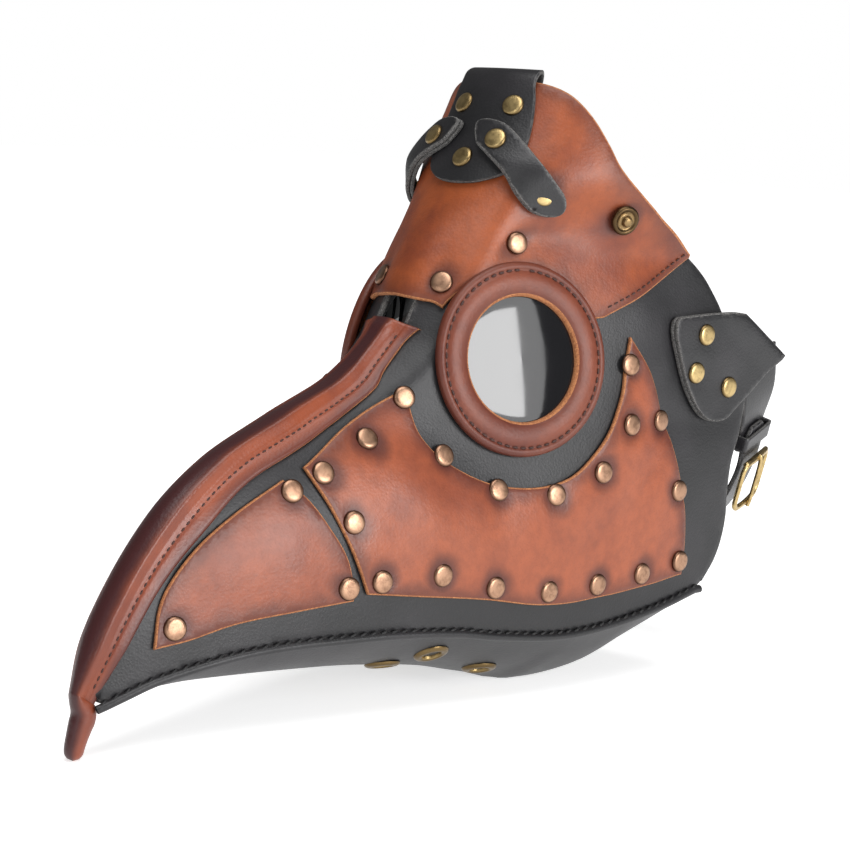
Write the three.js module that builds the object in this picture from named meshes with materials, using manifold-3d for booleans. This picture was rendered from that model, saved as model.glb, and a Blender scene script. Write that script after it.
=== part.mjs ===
// A plague doctor mask with a hooked beak: black leather panels, tan leather patches, riveted straps.
// Millimetres, +Z up, -Y towards the beak, +X towards the wearer's left.
// The shape is drawn from the beak tip (y = 0) backwards, with the mid-plane at x = 0 and the table at
// z = 0. The finished group is then moved forward by ORIGIN_Y, to the middle of its length.

import * as THREE from 'three';
import { mergeVertices } from 'three/addons/utils/BufferGeometryUtils.js';
import Module from 'manifold-3d';

const wasm = await Module();
wasm.setup();

const { clamp, lerp, smoothstep } = THREE.MathUtils;

// ---------------------------------------------------------------- driving dimensions

const ORIGIN_Y = 174.2;         // from the beak tip back to the middle of the mask's length
const LEATHER = 2;             // thickness of the black panels
const GAP = 0.3;               // between pieces that touch
const HALF_WIDTH = 64;         // half width that the head shape flattens out to
const REACH = 320;             // how far the head surface runs back from its crest

// The head's inner surface: height, y of the crest, radius of the crest, sideways flare behind it.
const STATIONS = [
  [0, 5, 1, 0.26],
  [24, 8, 1, 0.28],
  [48, 17.5, 1, 0.3],
  [78, 40, 1, 0.34],
  [96, 64, 1.2, 0.36],
  [109, 94, 2, 0.38],
  [121, 124, 5, 0.41],
  [137, 145, 10, 0.41],
  [149, 153.5, 13, 0.38],
  [161, 159.5, 12, 0.34],
  [176, 168.5, 13, 0.3],
  [190, 180.5, 27, 0.18],
  [204, 190, 37, 0.08],
  [224, 202, 40, 0.05],
  [256, 218, 40, 0.05],
];

// Height of the bottom seam, and of the belly's middle line, by distance behind the tip.
const SEAM = [[8, 18.5], [19.4, 23.2], [32, 27.7], [58, 33], [78, 35.1], [102, 35.6], [128, 35.3], [156, 33.2],
  [176, 30], [207, 26.9], [234, 28.2], [262.7, 32.6], [284, 37.6]];
const BELLY = [[8, 16.5], [20, 20.3], [41, 21.8], [66, 20.8], [111, 17.8], [133, 15.6], [167.6, 10.5], [190, 5.2],
  [205, 1.4], [216, -2.4], [246, -2.4], [258, 2.6], [272, 8.5], [290, 16]];
const TIP_SIZE = { girth: 5.8, height: 26 };   // the solid hook at the beak's end
const BOTTOM_START = 13.5;
const BOTTOM_END = 288;
const SEAM_FLANGE = 3;         // the bottom panel's edge outside the side panel
const BELLY_ROUND = 2;       // power of the belly's cross-section

// Grid that every leather sheet shares, so that stacked sheets stay parallel.
const COLUMNS = 15;
const COLUMN_POWER = 0.8;      // spreads the columns from the crest backwards
const ROW_HEIGHT = 15;

// Offsets of each layer from the head's inner surface: inner face, outer face.
const PANEL = [0, LEATHER];
const PATCH = [2.6, 4.3];
const FOREHEAD = [2.4, 4.4];
const SECOND_LAYER = [4.7, 6.5];
const BROW_LAYER = [8.8, 10.8];
const CROWN_MIDDLE = 2;        // the crown patch sits a little to the wearer's left
const BROW_SINK = 2.7;         // how far a brow strap's lower end sinks to the forehead
const LOOSE = 0.45;            // extra gap under a cap on a curved strap

const EYE = new THREE.Vector3(32, 190, 134);   // centre of the eye, on the head's inner surface
const EYE_SLOPE_Y = 0.335;                      // how the flat round the eye leans backwards
const EYE_SLOPE_Z = -0.18;                      // and upwards
const EYE_FLAT = 37;
const EYE_BLEND = 78;
const EYE_HOLE = 24.5;
const RING_RADIUS = 37.5;
const EYE_SEAT = 39.4;
const RING_OPENING = 24.2;
const RING_THICKNESS = 4.4;
const LENS_RADIUS = 27;
const LENS_THICKNESS = 2.4;

const RIVET_RADIUS = 4.5;
const RIVET_CAP = 1.7;
const SHANK_RADIUS = 1.4;
const SHANK_HOLE = 1.9;
const RIVET_TAIL = 3;

const EYELET_FLANGE = 7;
const EYELET_HOLE = 3.8;

const STRAP_WIDTH = 22;
const STRAP_THICKNESS = 2;
const STRAP_TWIST = 0.3;       // how far the loop turns to face rearwards below its folds
const HINGE_Y = 316;           // the line that the rear strap swings about
const HINGE_Z = 141;

// ---------------------------------------------------------------- colours

const MATERIALS = {
  tan: { color: 0x9c4a2a, roughness: 0.5, metalness: 0 },
  black: { color: 0x242427, roughness: 0.55, metalness: 0 },
  ring: { color: 0x74301f, roughness: 0.45, metalness: 0 },
  glass: { color: 0x101214, roughness: 0.08, metalness: 0 },
  brass: { color: 0xa07a4e, roughness: 0.35, metalness: 1 },
};

// ---------------------------------------------------------------- small tools

// Values at x on a smooth curve through rows of [x, value, value ...].
function smoothTable(rows, x) {
  const last = rows.length - 1;
  const after = rows.findIndex((row) => row[0] > x);
  const i = clamp(after < 0 ? last - 1 : after - 1, 0, last - 1);
  const step = rows[i + 1][0] - rows[i][0];
  const s = clamp((x - rows[i][0]) / step, 0, 1);
  const slope = (k, c) => {
    const before = Math.max(k - 1, 0);
    const next = Math.min(k + 1, last);
    return (rows[next][c] - rows[before][c]) / (rows[next][0] - rows[before][0]);
  };
  return rows[i].slice(1).map((value, index) => {
    const c = index + 1;
    const rise = rows[i + 1][c] - value;
    const bend = s * (1 - s) * ((1 - s) * (slope(i, c) * step - rise) - s * (slope(i + 1, c) * step - rise));
    return value + s * rise + bend;
  });
}

// A closed slab whose point (u, v, w), each from 0 to 1, lies at place(u, v, w). Both faces split their
// cells along the same diagonal, and along the other one in the columns where otherWay(column) holds.
function warpedSlab(columns, rows, place, otherWay = () => false) {
  const positions = [];
  const index = [];
  const at = (i, j, w) => (w * (rows + 1) + j) * (columns + 1) + i;
  const quad = (a, b, c, d) => index.push(a, b, c, a, c, d);
  for (const w of [0, 1]) {
    for (let j = 0; j <= rows; j += 1) {
      for (let i = 0; i <= columns; i += 1) positions.push(...place(i / columns, j / rows, w).toArray());
    }
  }
  for (let i = 0; i < columns; i += 1) {
    for (let j = 0; j < rows; j += 1) {
      const corners = (w) => [at(i, j, w), at(i + 1, j, w), at(i + 1, j + 1, w), at(i, j + 1, w)];
      const [a, b, c, d] = corners(0);
      const [e, f, g, h] = corners(1);
      if (otherWay(i)) {
        quad(f, g, h, e);
        quad(d, c, b, a);
      } else {
        quad(e, f, g, h);
        quad(a, d, c, b);
      }
    }
    quad(at(i, 0, 0), at(i + 1, 0, 0), at(i + 1, 0, 1), at(i, 0, 1));
    quad(at(i, rows, 0), at(i, rows, 1), at(i + 1, rows, 1), at(i + 1, rows, 0));
  }
  for (let j = 0; j < rows; j += 1) {
    quad(at(0, j, 0), at(0, j, 1), at(0, j + 1, 1), at(0, j + 1, 0));
    quad(at(columns, j, 0), at(columns, j + 1, 0), at(columns, j + 1, 1), at(columns, j, 1));
  }
  const geometry = new THREE.BufferGeometry();
  geometry.setAttribute('position', new THREE.Float32BufferAttribute(positions, 3));
  geometry.setIndex(index);
  return geometry;
}

function toSolid(geometry) {
  const bare = geometry.clone();
  bare.deleteAttribute('normal');
  bare.deleteAttribute('uv');
  const merged = mergeVertices(bare, 1e-4);
  return new wasm.Manifold(new wasm.Mesh({
    numProp: 3,
    vertProperties: Float32Array.from(merged.attributes.position.array),
    triVerts: Uint32Array.from(merged.index.array),
  }));
}

function toGeometry(solid) {
  const mesh = solid.getMesh();
  const geometry = new THREE.BufferGeometry();
  geometry.setAttribute('position', new THREE.BufferAttribute(Float32Array.from(mesh.vertProperties), 3));
  geometry.setIndex(new THREE.BufferAttribute(Uint32Array.from(mesh.triVerts), 1));
  return geometry;
}

// The same geometry on the other side of the mid-plane.
function mirrored(geometry) {
  const bare = geometry.clone();
  bare.deleteAttribute('normal');
  bare.deleteAttribute('uv');
  const flipped = mergeVertices(bare, 1e-4);
  flipped.scale(-1, 1, 1);
  const index = flipped.index;
  for (let i = 0; i < index.count; i += 3) {
    const second = index.getX(i + 1);
    index.setX(i + 1, index.getX(i + 2));
    index.setX(i + 2, second);
  }
  return flipped;
}

// An outline from stretches of points: a stretch of two is straight, a longer one is a smooth curve.
function outline(...stretches) {
  const points = stretches.flatMap((stretch) => {
    const knots = stretch.map(([a, b]) => new THREE.Vector2(a, b));
    const line = knots.length === 2 ? knots : new THREE.SplineCurve(knots).getPoints(Math.round(knots.length * 1.25));
    return line.slice(0, -1);
  });
  return new THREE.Shape(points);
}

// A block with the outline in side view (y, z), from x = near to x = far.
function sidePrism(shape, near, far) {
  const geometry = new THREE.ExtrudeGeometry(shape, { depth: far - near, bevelEnabled: false, steps: 1 });
  const turn = new THREE.Matrix4().makeBasis(
    new THREE.Vector3(0, 1, 0), new THREE.Vector3(0, 0, 1), new THREE.Vector3(1, 0, 0));
  geometry.applyMatrix4(turn);
  geometry.translate(near, 0, 0);
  return toSolid(geometry);
}

// A block with the outline in front view (x, z), right through the front of the head.
function frontPrism(shape, front, back) {
  const geometry = new THREE.ExtrudeGeometry(shape, { depth: back - front, bevelEnabled: false, steps: 1 });
  geometry.rotateX(Math.PI / 2);
  geometry.translate(0, back, 0);
  return toSolid(geometry);
}

// A turned part along local +Z from a profile of [radius, height].
function turned(profile, segments) {
  const points = profile.map(([radius, height]) => new THREE.Vector2(radius, height));
  const geometry = new THREE.LatheGeometry(points, segments);
  geometry.rotateX(Math.PI / 2);
  return geometry;
}

function seat(geometry, spot) {
  const turn = new THREE.Quaternion().setFromUnitVectors(new THREE.Vector3(0, 0, 1), spot.normal);
  const placed = geometry.clone();
  placed.applyQuaternion(turn);
  placed.translate(spot.point.x, spot.point.y, spot.point.z);
  return placed;
}

function drill(solid, places, radius, sides = 6) {
  const bit = new THREE.CylinderGeometry(radius, radius, 24, sides).rotateX(Math.PI / 2);
  return places.reduce((left, spot) => left.subtract(toSolid(seat(bit, spot))), solid);
}

const mirrorSpot = (spot) => ({
  point: new THREE.Vector3(-spot.point.x, spot.point.y, spot.point.z),
  normal: new THREE.Vector3(-spot.normal.x, spot.normal.y, spot.normal.z),
});

// ---------------------------------------------------------------- the head's surface

// t runs from the crest (0) back along either side (t < 0 is the wearer's right); z is the height.
function skin(t, z) {
  const [crest, nose, flare] = smoothTable(STATIONS, z);
  const back = REACH * t * t;
  const spread = Math.hypot(Math.sqrt(2 * nose * REACH) * t, flare * back);
  const round = HALF_WIDTH * Math.tanh(spread / HALF_WIDTH);
  const y = crest + back;
  const flat = (1 - smoothstep(Math.hypot(y - EYE.y, z - EYE.z), EYE_FLAT, EYE_BLEND)) * smoothstep(back, 3, 14);
  const plane = EYE.x + EYE_SLOPE_Y * (y - EYE.y) + EYE_SLOPE_Z * (z - EYE.z);
  return new THREE.Vector3(Math.sign(t) * lerp(round, plane, flat), y, z);
}

function skinNormal(t, z) {
  const step = 0.002;
  const across = skin(t + step, z).sub(skin(t - step, z));
  const up = skin(t, z + 0.5).sub(skin(t, z - 0.5));
  return across.cross(up).normalize();
}

const onSkin = (t, z, offset) => skin(t, z).addScaledVector(skinNormal(t, z), offset);

// t of the point in side view (y, z), on the wearer's left.
function sideT(y, z) {
  const [crest] = smoothTable(STATIONS, z);
  return Math.sqrt(Math.max(y - crest, 0) / REACH);
}

// t of the point in front view (x, z).
function frontT(x, z) {
  const [, nose, flare] = smoothTable(STATIONS, z);
  const spread = HALF_WIDTH * Math.atanh(x / HALF_WIDTH);
  const a = (flare * REACH) ** 2;
  const b = 2 * nose * REACH;
  const squared = (Math.sqrt(b * b + 4 * a * spread * spread) - b) / (2 * a);
  return Math.sign(x) * Math.sqrt(squared);
}

const columnT = (column) => Math.sign(column) * (Math.abs(column) / COLUMNS) ** COLUMN_POWER;
const columnAt = (t) => Math.sign(t) * COLUMNS * Math.abs(t) ** (1 / COLUMN_POWER);

// The point of the faceted sheets at (t, z), and the normal of the facet it is on.
function spotAt(t, z, offset) {
  if (t < 0) return mirrorSpot(spotAt(-t, z, offset));
  const i = Math.floor(columnAt(t));
  const j = Math.floor(z / ROW_HEIGHT);
  const [u, v] = [columnAt(t) - i, z / ROW_HEIGHT - j];
  const corner = (di, dj) => onSkin(columnT(i + di), (j + dj) * ROW_HEIGHT, offset);
  const near = u + v < 1 ? 0 : 1;   // which of the cell's two facets
  const point = corner(near, near);
  const across = corner(1 - near, near).sub(point);
  const up = corner(near, 1 - near).sub(point);
  const normal = across.clone().cross(up).normalize();
  point.addScaledVector(across, Math.abs(u - near)).addScaledVector(up, Math.abs(v - near));
  return { point, normal };
}

const sideSpot = ([y, z], offset) => spotAt(sideT(y, z), z, offset);
const frontSpot = ([x, z], offset) => spotAt(frontT(x, z), z, offset);

// A sheet of leather between two offsets, which may be functions of t and z. It covers the whole grid
// cells that reach from one t to another and from one height to another.
function sheet([inner, outer], [fromT, toT], [low, high]) {
  const firstColumn = Math.floor(columnAt(fromT));
  const columns = Math.ceil(columnAt(toT)) - firstColumn;
  const bottomRow = Math.floor(low / ROW_HEIGHT);
  const rows = Math.ceil(high / ROW_HEIGHT) - bottomRow;
  const level = (value, t, z) => (typeof value === 'function' ? value(t, z) : value);
  return toSolid(warpedSlab(columns, rows, (u, v, w) => {
    const t = columnT(firstColumn + u * columns);
    const z = (bottomRow + v * rows) * ROW_HEIGHT;
    return onSkin(t, z, lerp(level(inner, t, z), level(outer, t, z), w));
  }, (i) => firstColumn + i >= 0));
}

// ---------------------------------------------------------------- where things sit

const eyeSpot = {
  point: EYE,
  normal: new THREE.Vector3(1, -EYE_SLOPE_Y, -EYE_SLOPE_Z).normalize(),
};

const CHEEK_RIVETS = [
  [141, 120], [121.5, 104.5], [100, 94], [108.5, 77], [119, 55], [145.5, 55.5], [170.5, 48.7], [197.5, 44.7],
  [223.5, 45], [248.5, 47], [271, 50], [267, 79.5], [256, 108.5], [237.5, 108], [238, 131.5], [222.5, 90], [200, 82],
  [174.5, 84.5], [152.5, 98],
];
const BEAK_RIVETS = [[86.5, 88.3], [105, 53.5], [37.2, 44.2]];
const FOREHEAD_RIVETS = [[24.6, 178.3], [12.2, 161.5]];
const CROWN_RIVETS = [[CROWN_MIDDLE + 10.5, 228.3], [CROWN_MIDDLE - 10.5, 228.3], [CROWN_MIDDLE, 206.8]];
const BROW_TOP = [13, 213];
const BROW_LOW = [30.3, 197.5];
const ANCHOR_RIVETS = [[278.3, 143], [274, 127.8], [293.8, 121]];
const SNAP = [234.3, 190];
const EYELETS = [[14, 142], [29, 153], [22, 190], [-14, 142], [-29, 153], [-22, 190]];

const REAR_EDGE = [
  [203, 241.5], [210, 240.8], [215, 237.5], [218.5, 232.5], [222, 225.8], [225.3, 218], [229.5, 209], [239, 199.5],
  [251.3, 190.2], [263, 182.4], [273.8, 174.8], [283, 166.5], [290, 156.5], [297, 142], [304.5, 128], [310, 115],
  [307, 101.3], [302, 89], [300.6, 75.5], [301, 66], [299.2, 56], [295.5, 47.5], [290, 40.5],
];

// Where each kind of rivet sits: on the outer face of the leather that it holds.
const spots = {
  beak: BEAK_RIVETS.map((at) => sideSpot(at, PATCH[1])),
  anchor: ANCHOR_RIVETS.map((at) => sideSpot(at, SECOND_LAYER[1] + 0.5 * LOOSE)),
  forehead: FOREHEAD_RIVETS.map((at) => frontSpot(at, FOREHEAD[1] + 1.5 * LOOSE)),
  brow: [frontSpot(BROW_TOP, BROW_LAYER[1] + LOOSE), frontSpot(BROW_LOW, BROW_LAYER[1] - BROW_SINK + 4 * LOOSE)],
  snap: [sideSpot(SNAP, FOREHEAD[1] + LOOSE)],
  crown: CROWN_RIVETS.map((at) => frontSpot(at, SECOND_LAYER[1] + 3.6 * LOOSE)),
};

// ---------------------------------------------------------------- leather panels

// The flat ring of the side panel that the eye ring is sewn to.
function eyeSeat() {
  return toSolid(seat(turned([[EYE_HOLE, 0], [EYE_SEAT, 0], [EYE_SEAT, LEATHER], [EYE_HOLE, LEATHER], [EYE_HOLE, 0]],
    24), eyeSpot));
}

function sidePanel() {
  const top = [REAR_EDGE[9], [250, 176], [236, 176], [214, 183], [190, 185], [168, 176], [158, 168], [150, 164]];
  const seam = [284, 250, 202, 171, 138, 95, 64, 30, 16].map((y) => [y, smoothTable(SEAM, y)[0]]);
  const shape = outline(REAR_EDGE.slice(9), [REAR_EDGE.at(-1), seam[0]], seam, [seam.at(-1), [-20, 62]],
    [[-20, 62], [-20, 164]], [[-20, 164], top.at(-1)], top.toReversed());
  const panel = sheet(PANEL, [0, 0.94], [16, 202]).intersect(sidePrism(shape, GAP / 2, 90));
  const holes = [...spots.beak, ...spots.anchor, ...spots.forehead];
  return drill(drill(panel, holes, SHANK_HOLE), [eyeSpot], RING_RADIUS + 0.4, 24).add(eyeSeat());
}

function foreheadPanel() {
  const rim = [[273, 173.8], [259, 166], [245, 158.8], [233.4, 153.8], [226, 150.5]];
  const shape = outline(REAR_EDGE.slice(0, 11), [REAR_EDGE[10], rim[0]], rim, [rim.at(-1), [160, 150.5]],
    [[160, 150.5], [120, 152.5]], [[120, 152.5], [120, 241.5]], [[120, 241.5], REAR_EDGE[0]]);
  const panel = sheet(FOREHEAD, [-0.62, 0.62], [150, 246]).intersect(sidePrism(shape, -90, 90));
  const paired = [...spots.forehead, ...spots.brow, ...spots.snap];
  const holes = [...paired, ...paired.map(mirrorSpot), ...spots.crown];
  return drill(drill(panel, holes, SHANK_HOLE), [eyeSpot, mirrorSpot(eyeSpot)], EYE_SEAT + 0.5, 24);
}

// The height of the belly's outer face; it is flat where it rests on the table.
function bellyHeight(x, y, half) {
  const [seam] = smoothTable(SEAM, y);
  const [middle] = smoothTable(BELLY, y);
  const edge = seam - GAP - LEATHER;
  return Math.max(middle + (edge - middle) * Math.min(Math.abs(x) / half, 1) ** BELLY_ROUND, 0);
}

function bottomHalf(y) {
  const [seam] = smoothTable(SEAM, y);
  return onSkin(sideT(y, seam), seam, LEATHER + SEAM_FLANGE).x;
}

function bellySpot([x, y]) {
  const height = (dx, dy) => bellyHeight(x + dx, y + dy, bottomHalf(y + dy));
  return {
    point: new THREE.Vector3(x, y, height(0, 0)),
    normal: new THREE.Vector3(height(1, 0) - height(-1, 0), height(0, 1) - height(0, -1), -2).normalize(),
  };
}

function bottomPanel() {
  const slab = warpedSlab(8, 12, (u, v, w) => {
    const y = lerp(BOTTOM_END, BOTTOM_START, v);
    const half = bottomHalf(y);
    const x = lerp(-half, half, u);
    return new THREE.Vector3(x, y, bellyHeight(x, y, half) + LEATHER * (1 - w));
  });
  return drill(toSolid(slab), EYELETS.map(bellySpot), EYELET_HOLE + 1.1, 8);
}

// The cover along the beak's crest: a roll on the crest, flat wings, and a solid hooked tip.
function ridgeCover() {
  const lower = [[8, 19], [18, 38], [33, 60], [51, 78], [71, 94], [102, 108.5], [128, 122.5], [138, 131.5], [153, 147]];
  const shape = outline(lower, [lower.at(-1), [150, 150]], [[150, 150], [120, 150]], [[120, 150], [-20, 60]],
    [[-20, 60], [-20, 16]], [[-20, 16], lower[0]]);
  const roll = (t) => FOREHEAD[1] + 1.3 * Math.exp(-((t / 0.07) ** 2));
  const cover = sheet([FOREHEAD[0], roll], [-0.34, 0.34], [16, 151]).intersect(sidePrism(shape, -60, 60));
  const tip = new THREE.SphereGeometry(1, 14, 10).rotateX(Math.PI / 2);
  const position = tip.attributes.position;
  for (let i = 0; i < position.count; i += 1) {
    const rise = (position.getZ(i) + 1) / 2;
    const girth = TIP_SIZE.girth * lerp(0.6, 1, rise);
    position.setXYZ(i, position.getX(i) * girth, position.getY(i) * girth + lerp(1.9, 7.6, rise),
      rise * TIP_SIZE.height);
  }
  return cover.add(toSolid(tip));
}

// ---------------------------------------------------------------- tan patches

const rivetHead = () => turned([[0, 0], [RIVET_RADIUS, 0], [3.6, 1 + RIVET_CAP],
  [0, 1 + RIVET_CAP]], 6);

// The cheek patch carries its nineteen rivets in one body, because the part has more rivets than nodes.
function cheekPatch() {
  const shape = outline(
    [[112, 51], [104, 72], [92, 98]],
    [[92, 98], [116, 112.5], [140.5, 124.5]],
    [[140.5, 124.5], [144, 106], [161, 92], [184, 86], [206, 89], [223, 103], [232, 119], [235, 131], [238, 143]],
    [[238, 143], [248, 129], [255, 115], [262, 100], [270, 76], [274, 51]],
    [[274, 51], [273, 44]],
    [[273, 44], [244, 41], [200, 39], [161, 45], [112, 51]]);
  const patch = sheet(PATCH, [0.1, 0.94], [40, 144]).intersect(sidePrism(shape, 0, 90));
  return CHEEK_RIVETS.reduce((left, at) => left.add(toSolid(seat(rivetHead(), sideSpot(at, PATCH[1] - 0.9)))), patch);
}

function beakPatch() {
  const shape = outline(
    [[28, 38], [31, 52], [37, 62], [48, 73], [64, 84], [83, 94]],
    [[83, 94], [90, 88], [98, 76], [104, 65], [107, 52]],
    [[107, 52], [106, 49]],
    [[106, 49], [83, 47], [60, 44.5], [41, 40], [28, 38]]);
  const patch = sheet(PATCH, [0.08, 0.5], [37, 95]).intersect(sidePrism(shape, 0, 60));
  return drill(patch, spots.beak, SHANK_HOLE);
}

// ---------------------------------------------------------------- eyes

const ringProfile = () => {
  const back = LEATHER + GAP;
  const front = back + RING_THICKNESS;
  const recess = back + LENS_THICKNESS + GAP;
  return [[LENS_RADIUS + GAP, back], [RING_RADIUS, back], [RING_RADIUS, front - 1], [RING_RADIUS - 1.4, front],
    [RING_OPENING + 0.8, front], [RING_OPENING, front - 0.8], [RING_OPENING, recess],
    [LENS_RADIUS + GAP, recess], [LENS_RADIUS + GAP, back]];
};

const lensProfile = () => {
  const back = LEATHER + GAP;
  return [[0, back], [LENS_RADIUS, back], [LENS_RADIUS, back + LENS_THICKNESS - 0.6], [RING_OPENING - 1,
    back + LENS_THICKNESS], [0, back + LENS_THICKNESS + 0.4]];
};

const backingProfile = () => [[EYE_HOLE, -2.2], [34, -2.2], [34, -GAP], [EYE_HOLE, -GAP], [EYE_HOLE, -2.2]];

// ---------------------------------------------------------------- crown and brow straps

// The crown patch runs up the forehead, over its top edge and down inside: height and offset on its path.
const CROWN_PATH = [[197.8, 6.1], [203, 6.1], [209, 6.1], [220, 6.1], [230, 6.1], [236.5, 6.1], [241, 5], [242.5, 2.4],
  [241, -0.4], [235, -1], [227, -1], [220, -1]];
const CROWN_HALF = [[197.8, 2], [201, 10], [203.5, 15], [216, 19], [225, 18.6], [234, 17.4], [239, 16.6]];
const CROWN_TAB_HALF = 16;

function crownPatch() {
  const path = new THREE.SplineCurve(CROWN_PATH.map(([z, offset]) => new THREE.Vector2(z, offset)));
  const slab = warpedSlab(6, 14, (u, v, w) => {
    const point = path.getPoint(v);
    const along = path.getTangent(v);
    const z = point.x - along.y * (w - 0.5) * 1.8;
    const offset = point.y + along.x * (w - 0.5) * 1.8;
    const half = v < 0.47 ? smoothTable(CROWN_HALF, point.x)[0] : CROWN_TAB_HALF;
    return onSkin(frontT(lerp(CROWN_MIDDLE - half, CROWN_MIDDLE + half, u), Math.min(point.x, 241)), z, offset);
  });
  return drill(toSolid(slab), [...spots.crown, spots.brow[0], mirrorSpot(spots.brow[0])], SHANK_HOLE);
}

// A strap across the brow, rounded at both ends; its lower end sinks to the forehead.
function browStrap() {
  const [ax, az] = [12.3, 220.6];
  const [bx, bz] = [35.7, 195.5];
  const half = 6.2;
  const angle = Math.atan2(bz - az, bx - ax);
  const shape = new THREE.Shape();
  shape.absarc(ax, az, half, angle + Math.PI / 2, angle + 1.5 * Math.PI, false);
  shape.absarc(bx, bz, half, angle - Math.PI / 2, angle + Math.PI / 2, false);
  const sink = (offset) => (t, z) => offset - BROW_SINK * (1 - smoothstep(z, 186, 206));
  const strap = sheet(BROW_LAYER.map(sink), [-0.05, 0.33], [184, 230]).intersect(frontPrism(shape, 150, 250));
  return drill(strap, spots.brow, SHANK_HOLE);
}

// A strap between two stations of a path in the mid-plane, through points of [y, z].
function midStrap(points, half) {
  const path = new THREE.SplineCurve(points.map(([y, z]) => new THREE.Vector2(y, z)));
  return warpedSlab(1, 12, (u, v, w) => {
    const point = path.getPoint(v);
    const along = path.getTangent(v);
    const side = (w - 0.5) * STRAP_THICKNESS;
    return new THREE.Vector3(lerp(-half, half, u), point.x - along.y * side, point.y + along.x * side);
  });
}

const CROWN_STRAP_UPPER = [[211, 222], [216, 231], [226, 235], [246, 227], [274, 204], [299, 172], [314, 144.5]];
const CROWN_STRAP_LOWER = [[317.3, 137.5], [326, 112], [331, 82], [332.5, 53.5]];

// ---------------------------------------------------------------- side straps

const ANCHOR = [
  [[263, 150.5], [298, 151.5]],
  [[298, 151.5], [303, 150]],
  [[303, 150], [328, 133]],
  [[328, 133], [307, 117], [294, 110], [283, 108], [274, 112], [266, 126], [260, 144], [263, 150.5]],
];

function anchorPlate() {
  const plate = sheet(SECOND_LAYER, [0.6, 0.94], [106, 153]).intersect(sidePrism(outline(...ANCHOR), 0, 90));
  return drill(plate, spots.anchor, SHANK_HOLE);
}

function anchorPad() {
  const inside = [[288, 151], [293, 140], [297, 126], [296, 113]];
  const shape = outline([[263, 150.5], inside[0]], inside, [inside.at(-1), [283, 108], [274, 112], [266, 126],
    [260, 144], [263, 150.5]]);
  const pad = sheet(PATCH, [0.6, 0.94], [106, 153]).intersect(sidePrism(shape, 0, 90));
  return drill(pad, spots.anchor, SHANK_HOLE);
}

// The rear strap's loop hangs from its two folds: its middle line down the wearer's left to the middle.
const LOOP_LEFT = [[56.3, 319, 137], [54, 325, 117], [46.5, 330, 94], [38.5, 333, 70], [22, 333, 53], [0, 333, 48]];

const loopCurve = new THREE.CatmullRomCurve3([
  ...LOOP_LEFT.map(([x, y, z]) => new THREE.Vector3(x, y, z)),
  ...LOOP_LEFT.slice(0, -1).toReversed().map(([x, y, z]) => new THREE.Vector3(-x, y, z)),
]);
const LOOP_LENGTH = loopCurve.getLength();

// The strap's frame at a length along the loop: middle, direction, width direction and outward normal.
function loopFrame(length) {
  const u = clamp(length / LOOP_LENGTH, 0, 1);
  const middle = loopCurve.getPointAt(u);
  const along = loopCurve.getTangentAt(u);
  const fromFold = Math.min(length, LOOP_LENGTH - length);
  const tilt = 0.55 * (1 - smoothstep(fromFold, 0, 60));
  const across = new THREE.Vector3(0, Math.cos(tilt), -Math.sin(tilt));
  across.addScaledVector(along, -across.dot(along)).normalize();
  const twist = STRAP_TWIST * smoothstep(fromFold, 5, 38) * (1 - smoothstep(fromFold, 75, LOOP_LENGTH / 2));
  across.applyAxisAngle(along, -twist);
  const outward = new THREE.Vector3().crossVectors(along, across).normalize();
  return { middle, along, across, outward };
}

// A stretch of the loop, with a lift to the outside that may change along it.
function loopStrap(from, to, steps, lift) {
  return warpedSlab(steps, 1, (u, v, w) => {
    const length = lerp(from, to, u);
    const { middle, across, outward } = loopFrame(length);
    return middle.addScaledVector(across, (v - 0.5) * STRAP_WIDTH)
      .addScaledVector(outward, lift(length) + (w - 0.5) * STRAP_THICKNESS);
  });
}

const BAR_AT = 50;             // length along the loop, from the left fold, of the buckle's bar
const TAIL_AT = 36;            // where the long strap's free end lies
const KEEPER_AT = 42;
const KEEPER_LENGTH = 7;
const BUCKLE_LENGTH = 24;
const BUCKLE_WIDTH = 30;
const WIRE = 2.6;
const TAIL_LIFT = 2.4;

function group(frame, lift) {
  const holder = new THREE.Group();
  holder.position.copy(frame.middle).addScaledVector(frame.outward, lift);
  holder.quaternion.setFromRotationMatrix(new THREE.Matrix4().makeBasis(frame.along, frame.across,
    frame.along.clone().cross(frame.across)));
  return holder;
}

function framePiece(length, width, wire, depth) {
  const rect = (half, side, make) => {
    make.moveTo(-half, -side);
    make.lineTo(half, -side);
    make.lineTo(half, side);
    make.lineTo(-half, side);
    return make;
  };
  const shape = rect(length / 2, width / 2, new THREE.Shape());
  shape.holes.push(rect(length / 2 - wire, width / 2 - wire, new THREE.Path()));
  const geometry = new THREE.ExtrudeGeometry(shape, { depth, bevelEnabled: false, steps: 1 });
  geometry.translate(0, 0, -depth / 2);
  return geometry;
}

// ---------------------------------------------------------------- metal

const rivet = (grip) => turned([[0, -grip - GAP - 0.8], [RIVET_TAIL, -grip - GAP - 0.8], [RIVET_TAIL, -grip - GAP],
  [SHANK_RADIUS, -grip - GAP], [SHANK_RADIUS, GAP], [RIVET_RADIUS, GAP], [3.6, RIVET_CAP + GAP],
  [0, RIVET_CAP + GAP]], 7);

// A press stud: flange, raised cup wall and a post with a flat end; its shank goes through the forehead.
const snapStud = () => turned([[0, -4], [RIVET_TAIL, -4], [RIVET_TAIL, -3.2], [SHANK_RADIUS, -3.2],
  [SHANK_RADIUS, GAP], [6, GAP], [5.6, 1.9], [4.4, 1.9], [3.9, 1.2], [2, 1.2], [2.2, 4.2], [0, 4.2]], 10);

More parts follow.
